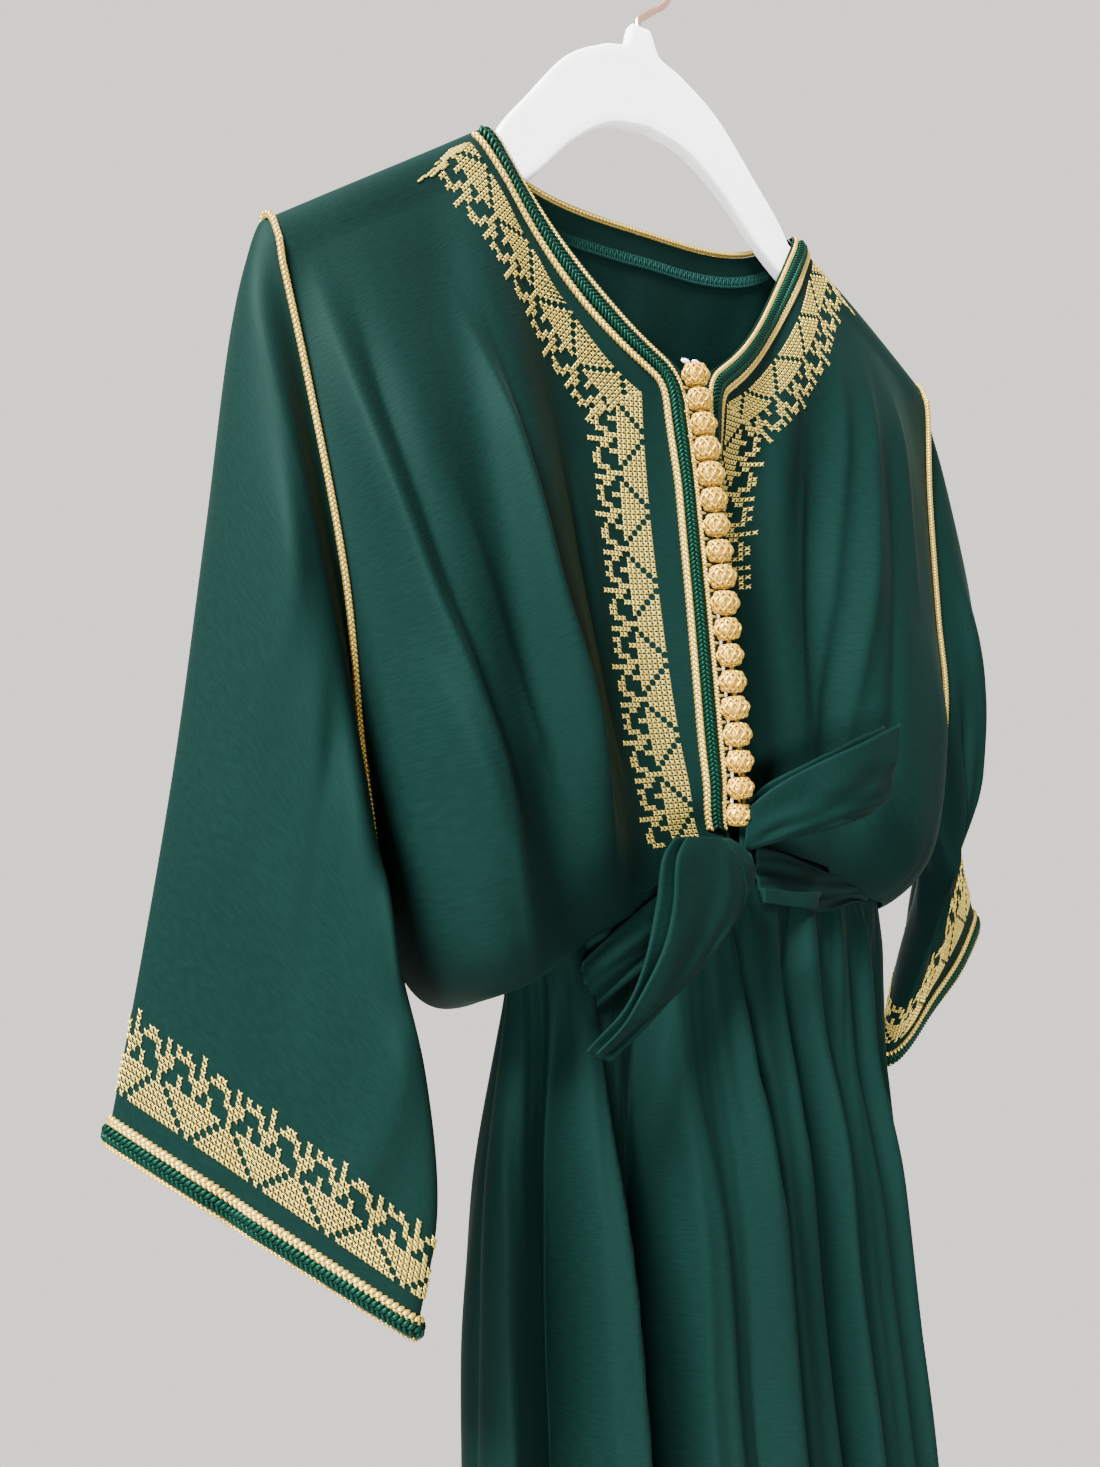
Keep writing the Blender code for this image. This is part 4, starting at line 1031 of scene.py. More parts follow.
# How a plait's threads lie: their lean's reach, thickness, height and sinking.
THREAD_REACH, THREAD_THICK, THREAD_HIGH = 1.25, 1.044, 0.95
THREAD_SINKS, THREAD_LIES = 0.30, 0.62
GOLD_LEAN = 1.5                 # how steeply the gold plaits' threads lean
GOLD_DIP = 0.10                 # how far a thread's ends dip
CORD_GRID = (4, 4)              # rings and sides of a thread
# Gold plaits as width, pitch and height, then their body's half width, half
# height and lift.
BROAD_GOLD = ((0.0024, 0.00180, 0.0020), (0.0011, 0.0005, 0.0002))
EDGE_GOLD = ((0.0015, 0.00145, 0.0018), (0.0008, 0.0006, 0.0002))
NECK_GOLD = ((0.0024, 0.0017, 0.0020), (0.0008, 0.0006, 0.0))
ARMHOLE_GOLD = ((0.0018, 0.0015, 0.0017), (0.0009, 0.0008, 0.0))
GREEN_PITCH, GREEN_HEIGHT, GREEN_LIFT, GREEN_LEAN = 0.00165, 0.0022, 0.0006, 0.85
GREEN_BODY = (0.36, 0.0010)     # its share of the width, and its half height


def mesh_of(bm):
    """Turn a bmesh into a mesh and free it."""
    mesh = bpy.data.meshes.new("piece")
    bm.to_mesh(mesh)
    bm.free()
    return mesh


def ball(sides, rings, radius):
    """A bmesh of a round ball with a UV map."""
    bm = bmesh.new()
    bmesh.ops.create_uvsphere(bm, u_segments=sides, v_segments=rings, radius=radius, calc_uvs=True)
    return bm


def shown(name, mesh, kind, nodes=(), wall=0.0):
    """Show a mesh as a piece of the kaftan, in place of its CAD nodes."""
    made = bpy.data.objects.new(name, mesh)
    bpy.context.scene.collection.objects.link(made)
    mesh.name = name
    mesh.materials.append(finish_of(kind))
    mesh.shade_smooth()
    if wall:
        solid = made.modifiers.new("wall", "SOLIDIFY")
        solid.thickness = wall
        solid.offset = 0.0
    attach(made, "root")
    if nodes:
        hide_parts(*nodes)
    return made


def grid_mesh(point, grid, size=(1.0, 1.0), closed=False):
    """Make an open sheet: a grid moved to point(u, v), with its UVs in metres."""
    bm = bmesh.new()
    bmesh.ops.create_grid(bm, x_segments=grid[0], y_segments=grid[1], size=0.5)
    layer = bm.loops.layers.uv.new("UVMap")
    for face in bm.faces:
        for loop in face.loops:
            u, v = loop.vert.co.x + 0.5, loop.vert.co.y + 0.5
            loop[layer].uv = (u * size[0], v * size[1])
    for vert in bm.verts:
        vert.co = point(vert.co.x + 0.5, vert.co.y + 0.5)
    if closed:
        bmesh.ops.remove_doubles(bm, verts=bm.verts, dist=MERGE_DISTANCE)
    return mesh_of(bm)


def sheet(name, node, point, cut, held, closed=False):
    grid, size, (width, length, area) = CUTS[cut]
    mesh = grid_mesh(point, grid, size, closed)
    made = shown(name, mesh, "cloth", (node,), bpy.context.scene.kaftan_look.cloth_wall)
    return made


def tree_of(mesh):
    """Make the tree that finds places on a mesh."""
    faces = [tuple(p.vertices) for p in mesh.polygons]
    return BVHTree.FromPolygons([v.co.copy() for v in mesh.vertices], faces)


class Rail:
    """A line on the cloth with its outward directions, read by its length."""

    def __init__(self, points, normals, closed=False):
        if closed:
            points = points + points[:1]
            normals = normals + normals[:1]
        self.points = np.array([tuple(p) for p in points])
        self.normals = np.array([tuple(n) for n in normals])
        steps = np.linalg.norm(np.diff(self.points, axis=0), axis=1)
        self.lengths = np.concatenate([[0.0], np.cumsum(steps)])
        self.length = float(self.lengths[-1])
        self.closed = closed

    def read(self, table, place):
        if self.closed:
            place = place % self.length
        return Vector([float(np.interp(place, self.lengths, table[:, k])) for k in range(3)])

    def at(self, place, step=0.0006):
        """The point, the direction along, and the direction outwards there."""
        low, high = place - step, place + step
        if not self.closed:
            low, high = max(low, 0.0), min(high, self.length)
        along = (self.read(self.points, high) - self.read(self.points, low)).normalized()
        outward = self.read(self.normals, place)
        outward = (outward - along * outward.dot(along)).normalized()
        return self.read(self.points, place), along, outward


def threads(places, grid=CORD_GRID, dip=0.0):
    """Lay a thread at each place: a spindle along X that dips at its ends."""
    bm = ball(grid[1], grid[0], 0.5)
    bmesh.ops.rotate(bm, verts=bm.verts, matrix=Matrix.Rotation(math.pi / 2, 3, "Y"))
    template = mesh_of(bm)
    shape = np.empty(len(template.vertices) * 3, dtype=np.float32)
    template.vertices.foreach_get("co", shape)
    shape = shape.reshape(-1, 3)
    shape[:, 2] -= dip * 4.0 * shape[:, 0] ** 2
    bm = bmesh.new()
    for place in places:
        moved = shape @ np.array(place.to_3x3()).T + np.array(place.translation)
        template.vertices.foreach_set("co", moved.astype(np.float32).ravel())
        bm.from_mesh(template)
    bpy.data.meshes.remove(template)
    bmesh.ops.recalc_face_normals(bm, faces=bm.faces)
    return mesh_of(bm)


def laid(centre, along, side, outward):
    """The placing of a thread whose three scaled directions are given."""
    place = Matrix((along, side, outward)).transposed().to_4x4()
    place.translation = centre
    return place


def plait(rail, width, pitch, height, lean=1.0, lift=0.0, narrow=None):
    """Places for the threads of a flat plait: two rows that lean to the middle."""
    places = []
    count = max(2, round(rail.length / pitch))
    for k in range(count):
        for side in (-1.0, 1.0):
            base = rail.length * (k + (0.5 if side > 0 else 0.0)) / count
            here, along, outward = rail.at(base)
            half = width * (narrow(base) if narrow else 1.0) * 0.5
            reach = outward.cross(along) * side * half - outward * height * THREAD_SINKS
            axis = reach + along * half * lean
            centre = here + reach * 0.5 + outward * (lift + height * THREAD_LIES)
            thick = axis.cross(outward).normalized() * pitch * THREAD_THICK
            high = outward * height * THREAD_HIGH
            places.append(laid(centre, axis * THREAD_REACH, thick, high))
    return places


def core(rail, half_width, half_height, lift=0.0, sides=8, step=0.003):
    """The smooth body under a plait, with closed ends."""
    count = max(4, round(rail.length / step))

    def point(u, v):
        here, along, outward = rail.at(rail.length * v)
        round_off = 1.0 if rail.closed else clamp(min(v, 1.0 - v) * count, 0.02, 1.0)
        angle = math.tau * u
        offset = outward.cross(along) * math.cos(angle) * half_width
        offset += outward * math.sin(angle) * half_height
        return here + outward * lift + offset * round_off
    return grid_mesh(point, (sides, count), (1.0, rail.length), closed=True)


def joined(meshes):
    """Join meshes into one."""
    bm = bmesh.new()
    for mesh in meshes:
        bm.from_mesh(mesh)
        bpy.data.meshes.remove(mesh)
    return mesh_of(bm)


def gold_cord(rail, sizes):
    """A gold plait with its body under it."""
    plaited, body = sizes
    return joined([threads(plait(rail, *plaited, lean=GOLD_LEAN), dip=GOLD_DIP), core(rail, *body)])


# ------------------------------------------------------- cords on the cloth
RAIL_STEPS = 240
PATH_STEP = 0.01                # how far along its path a cord looks for its direction
RING_STEPS = 160
RING_WIDTH = 0.012              # how far up a sleeve a ring looks for its slope
CUFF_SPAN = 0.12                # the share of a sleeve that its length is measured on
CUFF_MEASURED = (0.15, 0.35)    # and where round it
TRIM_NARROWS = (0.24, 0.40, 0.15)    # by how much, from where and over what share
TRIM_OFFSETS = (0.0090, 0.0049, 0.0011)     # gold braid, green braid and edge cord
CUFF_OFFSETS = (0.0068, 0.0038, 0.0009)
TRIM_GREEN = 0.0054
CUFF_GREEN = 0.0045


def neck_path(side, place):
    """The edge that the trim follows: down the neckline and the front edge."""
    start = NECK_HALF_WIDTH - TRIM_START
    neck_length = NECK_STRETCH * start
    run = place * (neck_length + FRONT_TRIM_END - NECK_FRONT_DROP)
    if run < neck_length:
        x = start + (PLACKET_HALF_GAP - start) * run / neck_length
        return side * x, top_line(x, FRONT_NECK)
    corner = top_line(PLACKET_HALF_GAP, FRONT_NECK)
    share = (run - neck_length) / (FRONT_TRIM_END - NECK_FRONT_DROP)
    return side * PLACKET_HALF_GAP, corner + (-FRONT_TRIM_END - corner) * share


def soft_path(side, place):
    """That edge with its corner rounded."""
    reach = min(TRIM_SOFTEN, place, 1.0 - place)
    steps = range(-TRIM_SOFTEN_STEPS, TRIM_SOFTEN_STEPS + 1)
    near = [neck_path(side, place + reach * k / TRIM_SOFTEN_STEPS) for k in steps]
    return sum((Vector((x, 0.0, z)) for x, z in near), Vector()) / len(near)


def ray_on(tree, start):
    """Where a line going backwards meets a cloth, and the way out there."""
    hit, normal, _, _ = tree.ray_cast(start, BACK)
    if hit is not None and normal.y > 0.0:
        normal.negate()
    return hit, normal


def on_cloth(tree, flat):
    """Where a point of the pattern lies on a front, and the way out there."""
    start = Vector((flat.x, -1.0, NECK_HEIGHT + flat.z))
    hit, normal = ray_on(tree, start)
    if hit is None:
        start.y = -SHOULDER_ROUND
        hit, normal, _, _ = tree.find_nearest(start)
        if normal.y > 0.0:
            normal.negate()
    return hit, normal


def edge_rail(side, offset):
    """The line of a cord that lies beside a front's edge."""
    points, ways = [], []
    for k in range(RAIL_STEPS + 1):
        share = k / RAIL_STEPS
        here, before = min(share + PATH_STEP, 1.0), max(share - PATH_STEP, 0.0)
        ahead = soft_path(side, here) - soft_path(side, before)
        inward = ahead.cross(BACK * side).normalized()
        further = offset * drawn_in(share) + EDGE_SETBACK
        point, way = on_cloth(TREES[side], soft_path(side, share) + inward * further)
        points.append(point)
        ways.append(way)
    return Rail(points, smooth_ways(ways))


def drawn_in(place):
    """How narrow the trim is at a place along its path."""
    share, start, over = TRIM_NARROWS
    return 1.0 - share * ease((place - start) / over)


def smooth_ways(normals, reach=4):
    """Average directions along a line, so that a cord doesn't show the mesh."""
    spans = (normals[max(k - reach, 0):k + reach + 1] for k in range(len(normals)))
    return [sum(span, Vector()).normalized() for span in spans]


def sleeve_ring(side, v):
    """A ring round a sleeve as a closed rail, from its outer edge."""
    surface = SLEEVES[side]
    points = [surface(k / RING_STEPS, v) for k in range(RING_STEPS)]
    middle = sum(points, Vector()) / RING_STEPS
    ways = []
    for k, here in enumerate(points):
        along = points[(k + 1) % RING_STEPS] - points[k - 1]
        way = along.cross(surface(k / RING_STEPS, v + RING_WIDTH) - here).normalized()
        if way.dot(here - middle) < 0.0:
            way.negate()
        ways.append(way)
    return Rail(points, smooth_ways(ways, 2), closed=True)


def cuff_ring(side, distance):
    """The ring round a sleeve at a distance from its hem."""
    surface = SLEEVES[side]
    reaches = [(surface(u, CUFF_SPAN) - surface(u, 0.0)).length for u in CUFF_MEASURED]
    return sleeve_ring(side, CUFF_SPAN * distance * len(reaches) / sum(reaches))


def three_cords(name, node, rails, wide, narrow=None):
    """A trim: a gold braid, a green herringbone braid and a gold edge cord."""
    gold_rail, green_rail, edge = rails
    places = plait(green_rail, wide, GREEN_PITCH, GREEN_HEIGHT, GREEN_LEAN, GREEN_LIFT, narrow)
    share, half_height = GREEN_BODY
    body = core(green_rail, wide * share, half_height, GREEN_LIFT)
    shown(name, joined([threads(places, (4, 6), GOLD_DIP), body]), "braid", (node,))
    gold = joined([gold_cord(gold_rail, BROAD_GOLD), gold_cord(edge, EDGE_GOLD)])
    shown(name + "_gold", gold, "cord")


# --------------------------------------------------------------- stitches
# A cross's threads as shares of the stitch: length, thickness, height, lift
# and how much higher the upper one lies.
CROSS_LONG, CROSS_THICK, CROSS_HIGH = 1.02, 0.46, 0.32
CROSS_LIFT, CROSS_OVER = 0.18, 0.11
CROSS_GRID = (3, 4)
CROSS_DIP = 0.16


def cross_stitches(corner, columns, size, shift=0):
    """Lay the threads of the border's crosses between the corners of a grid."""
    places = []
    at = cache(corner)
    for column in range(columns):
        for row, marks in enumerate(CHART):
            if marks[(column + shift) % len(marks)] != "#":
                continue
            rising = at(column, row), at(column + 1, row + 1)
            falling = at(column + 1, row), at(column, row + 1)
            if None in rising or None in falling:
                continue
            for layer, (first, last) in enumerate((rising, falling)):
                axis = last[0] - first[0]
                outward = (first[1] + last[1]).normalized()
                lift = size * (CROSS_LIFT + CROSS_OVER * layer)
                centre = (first[0] + last[0]) * 0.5 + outward * lift
                thick = axis.cross(outward).normalized() * size * CROSS_THICK
                places.append(laid(centre, axis * CROSS_LONG, thick, outward * size * CROSS_HIGH))
    return places


def border(name, places):
    shown(name, threads(places, CROSS_GRID, CROSS_DIP), "gold")


# ---------------------------------------------------------------- buttons
# The ball's cord goes round it this often, with this many turns at each end.
KNOT_LEADS, KNOT_BIGHTS, KNOT_STEPS = 8, 11, 500
KNOT_LATITUDE = 66.0            # degrees from its middle at which the cord turns
KNOT_RADIUS, KNOT_WEAVE = 0.425, 0.030
KNOT_CORD = (0.047, 0.046)
KNOT_SQUARE = 0.85              # fills its poles out
KNOT_BALL = (12, 8, 0.40)       # sides, rings and radius of the ball inside
# Short threads at the buttons: offset, direction, length, thickness, height.
LOOPS_BACK = 0.0024             # how far behind the buttons' middles they lie
LOOP_THREADS = (
    ((0.0022, 0.0, 0.0), UP, 0.0062, 0.0013, 0.0013),
    ((-0.0044, 0.0, 0.0), SIDE, 0.0048, 0.0012, 0.0012),
)
TIE_THREAD = ((-0.0016, 0.0, 0.0), UP, 0.0040, 0.0016, 0.0010)
TIES_FROM = 9                   # the first button with a white tie under it
TOP_TIES = (
    ((-0.0034, 0.0014, 0.0054), SIDE, 0.0046, 0.0020, 0.0009),
    ((0.0018, 0.0014, 0.0060), SIDE, 0.0036, 0.0016, 0.0009),
)
BUTTON_UNEVEN = 0.04
BUTTON_TURN = math.radians(47.0)    # from one button to the next
BUTTON_TILT = 0.12


def button_place(index):
    """The middle of a button, by its number from the top."""
    drop = FIRST_BUTTON_DROP + BUTTON_PITCH * index
    corner = -top_line(PLACKET_HALF_GAP, FRONT_NECK)
    share = clamp((drop - corner) / (WAIST_DROP - corner))
    depth = panel_point(0.0, share, FRONT_TABLES[-1], FRONT_NECK)[1]
    return Vector((BUTTON_ASIDE, -depth - BUTTON_FORWARD, NECK_HEIGHT - drop))


def knot_mesh():
    """A woven ball of one cord that goes over and under itself, 1 across."""
    points, ways = [], []
    for k in range(KNOT_STEPS):
        share = k / KNOT_STEPS
        within = (2.0 * KNOT_BIGHTS * share) % 1.0
        nearer = min(1.0, within * KNOT_LEADS, (1.0 - within) * KNOT_LEADS)
        over = math.cos(math.pi * KNOT_LEADS * within) * nearer
        latitude = math.radians(KNOT_LATITUDE) * math.cos(math.tau * KNOT_BIGHTS * share)
        longitude = math.tau * KNOT_LEADS * share
        level = math.cos(latitude)
        way = Vector((level * math.cos(longitude), level * math.sin(longitude), math.sin(latitude)))
        ways.append(way)
        squared = Vector((way.x, way.y, math.copysign(abs(way.z) ** KNOT_SQUARE, way.z)))
        points.append(squared * (KNOT_RADIUS + KNOT_WEAVE * over))
    rail = Rail(points, ways, closed=True)
    cord = core(rail, *KNOT_CORD, sides=5, step=rail.length / KNOT_STEPS)
    return joined([cord, mesh_of(ball(*KNOT_BALL))])


# -------------------------------------------------------------- properties
def colour(name, of, default):
    return FloatVectorProperty(name=name, description="Colour of " + of, subtype="COLOR",
                               size=3, min=0.0, max=1.0, default=default)


def length(name, description, default, low, high):
    return FloatProperty(name=name, description=description, unit="LENGTH",
                         subtype="DISTANCE", min=low, max=high, default=default)


class KaftanLook(bpy.types.PropertyGroup):
    """Colours and sizes that change the look of the whole kaftan."""

    cloth: colour("Cloth", "the crepe", (0.00125, 0.0056, 0.0047))
    gold: colour("Embroidery", "the gold embroidery thread", (0.40, 0.312, 0.078))
    cord: colour("Gold cord", "the gold cords and braids", (0.38, 0.268, 0.066))
    button: colour("Buttons", "the woven knot buttons", (0.44, 0.268, 0.040))
    braid: colour("Green braid", "the herringbone braid", (0.0008, 0.0062, 0.0040))
    flock: colour("Hanger", "the flocked hanger", (0.56, 0.57, 0.59))
    metal: colour("Hook", "the plated hook", (0.80, 0.47, 0.36))
    cloth_wall: length("Cloth thickness", "Thickness of the crepe", 0.0007, 0.0003, 0.002)
    front_pitch: length(
        "Front stitch", "Width of one cross stitch beside the neckline", 0.0020, 0.0008, 0.003)
    cuff_pitch: length(
        "Cuff stitch", "Width of one cross stitch at the cuffs", 0.0018, 0.0008, 0.003)


# --------------------------------------------------------------- operators
class PieceOperator(bpy.types.Operator):
    """Build a group of the kaftan's pieces."""

    bl_options = {"REGISTER", "UNDO"}


class KAFTAN_OT_bodice(PieceOperator):
    """Build the two fronts and the back."""

    bl_idname = "kaftan.bodice"
    bl_label = "Bodice"

    def execute(self, context):
        parts = [(side, "front_" + word, front(side), "front") for side, word in SIDES]
        for side, node, point, cut in (*parts, (0, "back", back, "back")):
            made = sheet("bodice_" + node, node, point, cut, "gathered")
            TREES[side] = tree_of(made.data)
        return {"FINISHED"}


class KAFTAN_OT_sleeves(PieceOperator):
    """Build the two wide sleeves."""

    bl_idname = "kaftan.sleeves"
    bl_label = "Sleeves"

    def execute(self, context):
        for side, word in SIDES:
            node = "sleeve_" + word
            sheet("wide_" + node, node, SLEEVES[side], node, "hung", closed=True)
        return {"FINISHED"}


class KAFTAN_OT_skirt(PieceOperator):
    """Build the front and the back of the gathered skirt."""

    bl_idname = "kaftan.skirt"
    bl_label = "Skirt"

    def execute(self, context):
        for facing, node in ((-1, "skirt_front"), (1, "skirt_back")):
            sheet("gathered_" + node, node, skirt(facing), node, "gathered")
        return {"FINISHED"}


class KAFTAN_OT_belt(PieceOperator):
    """Build the belt with its tied bow."""

    bl_idname = "kaftan.belt"
    bl_label = "Belt and bow"

    def execute(self, context):
        for side, word in SIDES:
            sheet("tied_belt_" + word, "belt_" + word, belt(side), "belt", "stretched")
        for name, node, table, seed, held in (
            ("bow_loop_near", "bow_right", BOW_RIGHT, 31.0, "folded"),
            ("bow_loop_far", "bow_left", BOW_LEFT, 37.0, "folded"),
            ("bow_end", "bow_tail", BOW_TAIL, 41.0, "hung"),
        ):
            sheet(name, node, ribbon(table, seed), node, held)
        bm = ball(*KNOT_GRID, 1.0)
        for vert in bm.verts:
            swell = 1.0 + KNOT_SWELL * noise.noise(vert.co * KNOT_SWELL_SCALE)
            vert.co = Vector([a * b for a, b in zip(vert.co, KNOT_HALF_SIZE)]) * swell
            vert.co += Vector(KNOT_PLACE) + UP * NECK_HEIGHT
        shown("belt_knot", mesh_of(bm), "cloth", ("bow_knot",))
        return {"FINISHED"}


class KAFTAN_OT_neck_trims(PieceOperator):
    """Build the corded trims of the neckline and the front edges."""

    bl_idname = "kaftan.neck_trims"
    bl_label = "Neck and front trims"

    def execute(self, context):
        for side, word in SIDES:
            rails = [edge_rail(side, offset) for offset in TRIM_OFFSETS]
            whole = rails[1].length
            three_cords("front_trim_" + word, "trim_" + word, rails, TRIM_GREEN,
                        lambda base: drawn_in(base / whole))
        points = []
        for k in range(-BACK_NECK_STEPS, BACK_NECK_STEPS + 1):
            across = BACK_NECK_REACH * abs(k) / BACK_NECK_STEPS
            x, depth, height = panel_point(across, 0.0, BACK_TABLES[1], BACK_NECK)
            height += NECK_HEIGHT + NECK_CORD_LIFT
            points.append(Vector((math.copysign(x, k), depth, height)))
        rail = Rail(points, [NECK_CORD_WAY.normalized()] * len(points))
        shown("back_neck_cord", gold_cord(rail, NECK_GOLD), "cord", ("neck_cord_back",))
        self.serged_seam()
        return {"FINISHED"}

    def serged_seam(self):
        """The overlocked seam that shows inside the back of the neck."""
        points, ways = [], []
        for k in range(-SERGE_STEPS, SERGE_STEPS + 1):
            x = SERGE_HALF_WIDTH * k / SERGE_STEPS
            drop = NECK_BACK_DROP * (1.0 - (abs(x) / NECK_HALF_WIDTH) ** BACK_NECK_POWER)
            start = Vector((x, -0.06, NECK_HEIGHT - drop - SERGE_DROP))
            hit, normal = ray_on(TREES[0], start)
            if hit is not None:
                points.append(hit + normal * SERGE_LIFT)
                ways.append(normal)
        rail = Rail(points, smooth_ways(ways))
        rungs = []
        count = round(rail.length / SERGE_PITCH)
        for k in range(count):
            here, along, outward = rail.at(rail.length * (k + 0.5) / count)
            lean = RUNG_LEAN[k % 2] * (1.0 + 0.5 * math.sin(1.7 * k))
            reach = outward.cross(along) * (RUNG_LENGTH + RUNG_UNEVEN * math.sin(2.3 * k))
            here += outward * RUNG_LIFT
            thick, high = along * RUNG_THICK, outward * RUNG_HIGH
            rungs.append(laid(here, reach + along * lean, thick, high))
        meshes = [threads(rungs), core(rail, *SERGE_BODY)]
        for offset in (-SERGE_EDGE, SERGE_EDGE):
            moved = Rail([p + UP * offset for p in points], ways)
            meshes.append(threads(plait(moved, *SERGE_PLAIT)))
        shown("back_neck_serging", joined(meshes), "serge")


class KAFTAN_OT_armhole_cords(PieceOperator):
    """Build the gold cords over the armhole seams."""

    bl_idname = "kaftan.armhole_cords"
    bl_label = "Armhole cords"

    def execute(self, context):
        for side, word in SIDES:
            points, ways = [], []
            for k in range(-ARMHOLE_STEPS, ARMHOLE_STEPS + 1):
                around = 0.5 * PIPING_END * abs(k) / ARMHOLE_STEPS
                around = around if k >= 0 else 1.0 - around
                place = armhole(side, around)
                nudge = ARMHOLE_NUDGE if k >= 0 else -ARMHOLE_NUDGE
                away = SIDE.cross(armhole(side, (around + nudge) % 1.0) - place).normalized()
                if abs(k) <= ARMHOLE_TOP:
                    away = UP
                elif (away.y < 0.0) != (k > 0):
                    away = -away
                points.append(place + away * ARMHOLE_LIFT + SIDE * side * ARMHOLE_ASIDE)
                ways.append(away)
            cord = gold_cord(Rail(points, smooth_ways(ways, 6)), ARMHOLE_GOLD)
            shown("armhole_cord_" + word, cord, "cord", ("piping_" + word,))
        return {"FINISHED"}


class KAFTAN_OT_cuff_trims(PieceOperator):
    """Build the corded trims round the two cuffs."""

    bl_idname = "kaftan.cuff_trims"
    bl_label = "Cuff trims"

    def execute(self, context):
        for side, word in SIDES:
            rails = [cuff_ring(side, offset) for offset in CUFF_OFFSETS]
            three_cords("cuff_band_" + word, "cuff_trim_" + word, rails, CUFF_GREEN)
        return {"FINISHED"}


class KAFTAN_OT_embroidery(PieceOperator):
    """Work the cross-stitch borders of the fronts and the cuffs."""

    bl_idname = "kaftan.embroidery"
    bl_label = "Embroidery"

    def execute(self, context):
        look = context.scene.kaftan_look
        for side, word in SIDES:
            self.front_border(side, word, look.front_pitch)
            self.cuff_border(side, word, look.cuff_pitch)
        return {"FINISHED"}

    def front_border(self, side, word, pitch):
        """Work two straight runs that meet in a mitre where the neckline turns."""
        neck_length = NECK_STRETCH * (NECK_HALF_WIDTH - TRIM_START)
        turn = neck_length / (neck_length + FRONT_TRIM_END - NECK_FRONT_DROP)
        tree = TREES[side]
        places = []
        for low, high, shift in ((BORDER_ENDS[0], turn, BORDER_SHIFT), (turn, BORDER_ENDS[1], 0)):
            ends = [Vector((x, 0.0, z)) for x, z in (neck_path(side, low), neck_path(side, high))]
            inward = (ends[1] - ends[0]).cross(BACK * side).normalized()
            shares = np.linspace(low, high, BORDER_STEPS)
            line = [on_cloth(tree, self.flat(side, share, inward, 0.0)[0])[0] for share in shares]
            rail = Rail(line, [OUT] * len(line))

            def corner(column, row):
                share = float(np.interp(column * pitch, rail.lengths, shares))
                flat, away = self.flat(side, share, inward, row * pitch * BORDER_ROW)
                hidden = side > 0 and row > BORDER_FAR_ROWS and flat.z < -BORDER_FAR_DROP
                over = flat.z > top_line(abs(flat.x), FRONT_NECK) - BORDER_TOP_DROP
                mitre = self.beyond(side, flat, high == turn) < away - BORDER_MITRE * pitch
                if hidden or over or mitre:
                    return None
                return on_cloth(tree, flat)

            places += cross_stitches(corner, int(rail.length / pitch), pitch, shift)
        border("neck_border_" + word, places)

    def flat(self, side, share, inward, further):
        """A point of the border's pattern, and how far it is from its edge."""
        away = read(BORDER_BASE, share) + further
        start, over = BORDER_NEARS
        away -= BORDER_NEARER * ease((share - start) / over) if side > 0 else 0.0
        x, z = neck_path(side, share)
        return Vector((x, 0.0, z)) + inward * away, away

    def beyond(self, side, flat, above):
        """How far a point is from the other run's edge."""
        if above:
            return abs(flat.x) - PLACKET_HALF_GAP
        start = NECK_HALF_WIDTH - TRIM_START
        top, low = (Vector((side * x, 0.0, top_line(x, FRONT_NECK)))
                    for x in (start, PLACKET_HALF_GAP))
        return (flat - low).dot((low - top).cross(BACK * side).normalized())

    def cuff_border(self, side, word, pitch):
        """Work a border of whole repeats round a cuff."""
        rings = [cuff_ring(side, CUFF_BORDER_START + pitch * row) for row in range(len(CHART) + 1)]
        repeat = len(CHART[0])
        columns = round(rings[0].length / pitch / repeat) * repeat

        def corner(column, row):
            share = (column % columns) / columns
            here, _, outward = rings[row].at(share * rings[row].length)
            return here + outward * CUFF_BORDER_LIFT, outward

        border("cuff_border_" + word, cross_stitches(corner, columns, pitch, CUFF_BORDER_SHIFT))


class KAFTAN_OT_buttons(PieceOperator):
    """Build the woven knot buttons and the loops between them."""

    bl_idname = "kaftan.buttons"
    bl_label = "Buttons"

    def execute(self, context):
        template = knot_mesh()
        gold, white = [], []
        for k in range(BUTTON_COUNT):
            mesh = template.copy()
            swell = 1.0 + BUTTON_UNEVEN * math.sin(5.0 * k)
            scale = Matrix.Diagonal((*[s * swell for s in BUTTON_SIZE], 1.0))
            turn = Matrix.Rotation(BUTTON_TURN * k, 4, "Z")
            turn @= Matrix.Rotation(BUTTON_TILT * math.sin(3.0 * k), 4, "X")
            mesh.transform(Matrix.Translation(button_place(k)) @ scale @ turn)
            shown("woven_button_%02d" % (k + 1), mesh, "button", ("button_%02d" % (k + 1),))
            if k + 1 == BUTTON_COUNT:
                break
            between = (button_place(k) + button_place(k + 1)) * 0.5 + BACK * LOOPS_BACK
            gold += [self.short_thread(between, row) for row in LOOP_THREADS]
            if k >= TIES_FROM:
                white.append(self.short_thread(between, TIE_THREAD))
        white += [self.short_thread(button_place(0), row) for row in TOP_TIES]
        bpy.data.meshes.remove(template)
        shown("button_loops", threads(gold, (6, 6)), "cord")
        shown("button_ties", threads(white, (6, 6)), "white")
        return {"FINISHED"}

    def short_thread(self, place, row):
        """Lay a short thread up or across, beside a place."""
        offset, way, long, thick, high = row
        other = SIDE if way is UP else UP
        return laid(place + Vector(offset), way * long, other * thick, OUT * high)


